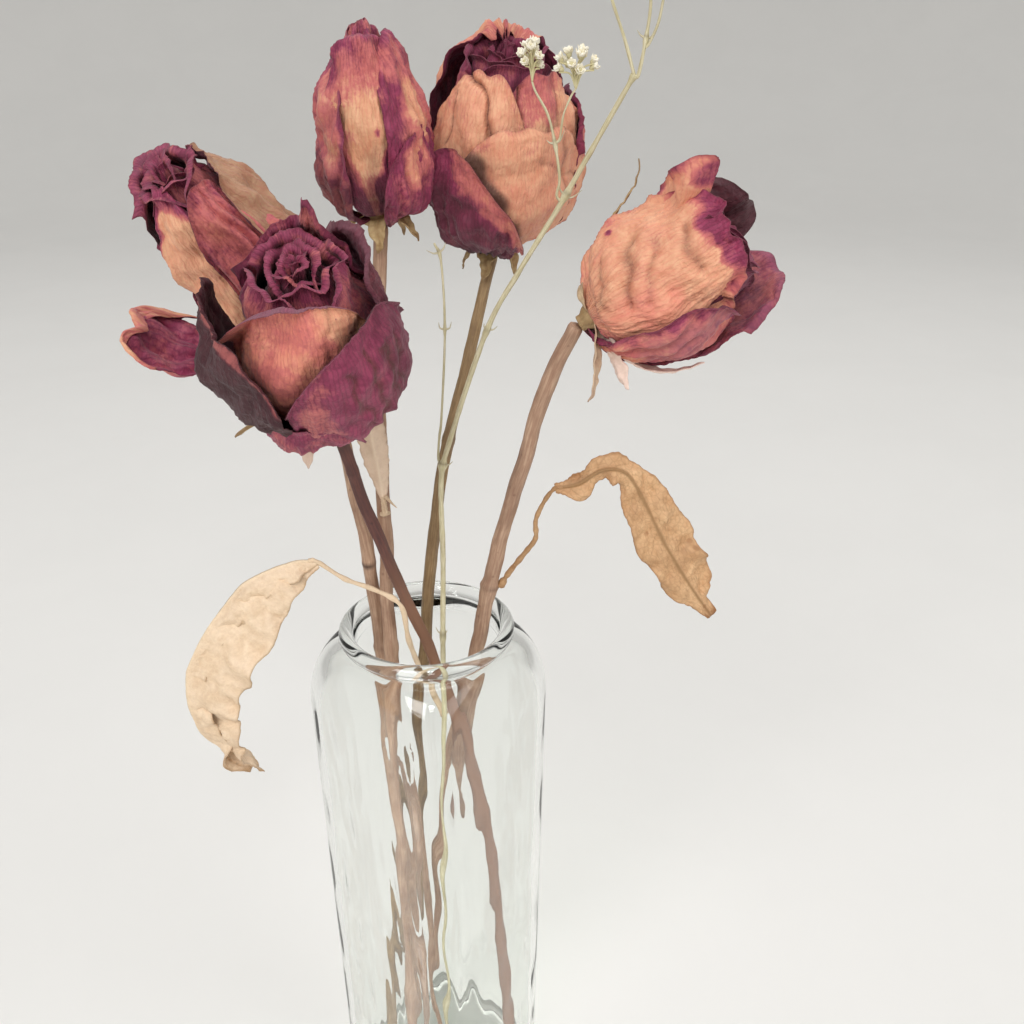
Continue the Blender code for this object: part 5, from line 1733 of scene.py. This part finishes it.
@dataclass(frozen=True)
class Vase:
    """The square glass vase with its shoulder and round beaded mouth."""

    height: float = 0.229
    half_side: float = 0.033
    foot_half_side: float = 0.031
    corner: float = 0.011
    foot_bevel: float = 0.002
    shoulder_drop: float = 0.03
    collar: float = 0.006
    neck: float = 0.0285
    lip: float = 0.0025
    lip_inset: float = 0.0005
    wall: float = 0.0036
    floor: float = 0.012
    fillet: float = 0.004
    waviness: float = 0.00009

    def outline(self) -> Array:
        """Return the wall's section from the foot up, over the lip and down to the inner floor.

        Returns:
            Half side, corner radius, height and a share that is 1 on the inner wall, a row each.
        """
        low = self.height - self.shoulder_drop
        quarter = np.linspace(0, pi / 2, 28)
        rings = [(0, 0, 0, 0), (0.02, 0.006, 0, 0), (0.0285, 0.0088, 0, 0)]
        for turn in quarter[::3]:
            drop = self.foot_bevel * (1 - sin(turn))
            rings.append((self.foot_half_side - drop, self.corner - drop,
                          self.foot_bevel * (1 - cos(turn)), 0))
        for share in np.linspace(0, 1, 44)[1:-1]:
            rings.append((self.foot_half_side + (self.half_side - self.foot_half_side) * share,
                          self.corner, self.foot_bevel + (low - self.foot_bevel) * share, 0))
        rings += [(*self.shoulder(0, turn), 0) for turn in quarter]
        for turn in np.radians(np.linspace(-55, 235, 40)):
            radius = self.neck - self.lip_inset + self.lip * cos(turn)
            rings.append((radius, radius, self.height + self.lip * (sin(turn) - 1), 0))
        rings += [(*self.shoulder(self.wall, turn), 1) for turn in quarter[::-1]]
        corner, foot = self.corner - self.wall, self.foot_half_side - self.wall
        side, low = self.half_side - self.wall, low - self.wall
        bottom = self.floor + self.fillet
        for share in np.linspace(0, 1, 60)[1:-1]:
            rings.append((side + (foot - side) * share, corner, low + (bottom - low) * share, 1))
        for turn in quarter[::3]:
            rings.append((foot - self.fillet * (1 - cos(turn)), corner,
                          bottom - self.fillet * sin(turn), 1))
        rings += [(0.02, 0.006, self.floor, 1), (0, 0, self.floor, 1)]
        return np.array(rings).T

    def shoulder(self, inset: float, turn: float) -> tuple[float, float, float]:
        """Return half side, corner radius and height at an angle up the shoulder.

        The half side and the diagonal reach both go as neck + (start - neck) cos(turn), and the
        height as low + (high - low) sin(turn); the corner radius keeps both true.

        Args:
            inset: how far inside the outer wall.
            turn: the angle, from 0 at the wall to a quarter turn at the neck.
        """
        low, high = self.height - self.shoulder_drop - inset, self.height - self.collar - inset
        half_side, corner, neck = self.half_side - inset, self.corner - inset, self.neck - inset
        root = sqrt(2)
        diagonal = (half_side - corner) * root + corner
        half = neck + (half_side - neck) * cos(turn)
        reach = neck + (diagonal - neck) * cos(turn)
        radius = min((half * root - reach) / (root - 1), half)
        return half, radius, low + (high - low) * sin(turn)

    def build(self, finish: Material) -> None:
        """Build the vase as one closed wall in place of its solid.

        In the direction a, off from the nearest flat's middle, a flat's reach is half / cos a;
        past the corner's start it is inset (cos + sin) + sqrt(r^2 - (inset (cos - sin))^2).
        """
        half, corner, height, inner = self.outline()[..., None]
        turn = turns(192)
        turn = turn - 0.11 * np.sin(4 * turn)
        offset = np.abs(turn % (pi / 2) - pi / 4)
        inset = half - corner
        across = inset * (np.cos(offset) - np.sin(offset))
        rounded = (inset * (np.cos(offset) + np.sin(offset))
                   + np.sqrt(np.maximum(corner ** 2 - across ** 2, 0)))
        reach = np.where(half * np.tan(offset) > inset, rounded, half / np.cos(offset))
        held = ease((0.215 - height) / 0.02) * ease((height - 0.018) / 0.02)
        ripple = waves(polar(0.03, turn, height * 0.22), 0.005, 71) * (0.35 + 0.65 * ease(offset / 0.6))
        points = polar(reach + inner * held * self.waviness * ripple, turn, height)
        parts = MeshParts()
        parts.add_rings(points[1:-1], points[(0, -1), 0], 0)
        parts.place("glass_vase", finish, "clear_glass", "vase")


# ---- studio


@dataclass(frozen=True)
class Studio:
    """A pale round floor whose rim curves up, soft lamps, the world and the camera."""

    flat_radius: float = 2.2
    rim_radius: float = 1.6
    wall: float = 1.4  # how far the backdrop goes on upwards
    camera_place: tuple = (0, -0.307, 0.416)
    camera_pitch: float = 25.4  # degrees downwards
    camera_yaw: float = 5.55  # degrees to the right
    lens: float = 36
    sky: tuple = (0.95, 0.97, 1, 1)
    sky_strength: float = 0.38
    lamps: tuple = (  # name, place, size and power
        ("key", (-1.1, -1.9, 2.1), 1.5, 42),
        ("fill", (1.7, -1.1, 1.2), 1.6, 13),
        ("top", (0.2, 0.8, 2.5), 1.5, 20),
        ("small_front", (0.03, -0.62, 0.78), 0.1, 0.8),
    )

    def build(self, finish: Material) -> None:
        """Make the floor, the lamps, the world and the camera."""
        scene = bpy.context.scene
        self.build_floor(finish)
        for lamp in self.lamps:
            self.add_lamp(*lamp)
        scene.world = bpy.data.worlds.new("studio")
        scene.world.use_nodes = True
        Graph(scene.world.node_tree).feed(scene.world.node_tree.nodes["Background"],
                                          {"Color": self.sky, "Strength": self.sky_strength})
        data = bpy.data.cameras.new("camera")
        data.lens = self.lens
        data.sensor_width = 36
        data.clip_start = 0.01
        camera = bpy.data.objects.new("camera", data)
        camera.location = self.camera_place
        camera.rotation_euler = (radians(90 - self.camera_pitch), 0,
                                 -radians(self.camera_yaw))
        scene.collection.objects.link(camera)
        scene.camera = camera
        scene.view_settings.view_transform = "Standard"

    def build_floor(self, finish: Material) -> None:
        """Make the floor as a surface of revolution: flat, a quarter circle, then a wall."""
        columns = 96
        bend = np.linspace(0, pi / 2, 17)[1:]
        radius = np.concatenate((np.linspace(0.02, self.flat_radius, 12),
                                 self.flat_radius + self.rim_radius * np.sin(bend),
                                 [self.flat_radius + self.rim_radius]))[:, None]
        height = np.concatenate((np.zeros(12), self.rim_radius * (1 - np.cos(bend)),
                                 [self.rim_radius + self.wall]))[:, None]
        points = polar(radius, turns(columns), height).reshape(-1, 3)
        parts = MeshParts()
        middle = fan(np.arange(columns), len(points))[:, (2, 0, 1)]
        parts.add(np.concatenate((points, np.zeros((1, 3)))),
                  [quads_of(len(radius), columns, True)[:, ::-1], middle], 0, {})
        parts.build("studio_floor", finish)

    def add_lamp(self, name: str, place: tuple, size: float, power: float) -> None:
        """Add a square soft lamp aimed at the flowers."""
        data = bpy.data.lights.new(name, "AREA")
        data.size = size
        data.energy = power
        lamp = bpy.data.objects.new(name, data)
        lamp.location = place
        lamp.rotation_euler = (Vector((0, 0, 0.27)) - lamp.location).to_track_quat("-Z", "Y").to_euler()
        bpy.context.scene.collection.objects.link(lamp)


# ---- everything


def make_finishes() -> dict[str, Material]:
    """Make every finish once and return them by slot name."""
    effects = Effects()
    finishes = {
        "petal_tan": PetalFinish("dry_petal_tan"),
        "petal_magenta": PetalFinish("dry_petal_magenta"),
        "petal_dark": PetalFinish("dry_petal_dark", flushed=0x7E283E, wine=0x521628,
                                  sheen=0.04),
        "calyx": LeafFinish("dry_sepal", 0xB09262, 0xCEB688, 0x927046,
                            0x68462A, 0.45),
        "leaf_pale": LeafFinish("dry_leaf_pale", 0xE0C4A4, 0xF0D8BC,
                                0xF2DCBC, 0xA07E58, 0.22),
        "leaf_tan": LeafFinish("dry_leaf_tan", 0xCCA074, 0xE2BA8E,
                               0x8C6A42, 0x8E603A),
        "stem_brown": StalkFinish("dry_stem_brown", 0xA27E66, 0xC4A48A,
                                  0x6C4836, 0xC4A48A),
        "stem_dark": StalkFinish("dry_stem_dark", 0x502C28, 0x70443A,
                                 0x2E1616, 0x926A52),
        "stem_olive": StalkFinish("dry_stem_olive", 0x8C704C, 0xAC9068,
                                  0x503622, 0xAC9068),
        "sprig_stem": StalkFinish("dry_shoot", 0xC0B68E, 0xDED6B8,
                                  0x8C7C58, 0xE2DABE, streaks=2600),
        "sprig_flowers": BlossomFinish("dry_blossom"),
        "clear_glass": GlassFinish("pressed_glass"),
        "floor": FloorFinish("pale_floor"),
    }
    return {slot: finish.build(effects) for slot, finish in finishes.items()}


def main() -> None:
    """Build the bouquet, the vase and the studio."""
    logging.basicConfig(level=logging.INFO, format="%(message)s")
    finishes = make_finishes()
    Studio().build(finishes["floor"])
    Vase().build(finishes["clear_glass"])
    for rose in (FRONT, LEFT, TALL, OPEN, RIGHT):
        RoseHead(rose, finishes).build()
    for leaf in (LEFT_LEAF, RIGHT_LEAF, LEAF_STUB):
        leaf.build(finishes[leaf.slot])
    for number, twig in enumerate(SHOOTS):
        twig.build(finishes["sprig_stem"], 800 + 7 * number)
    for head in HEADS:
        head.build(finishes["sprig_flowers"])
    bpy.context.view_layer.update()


if __name__ == "__main__":
    main()
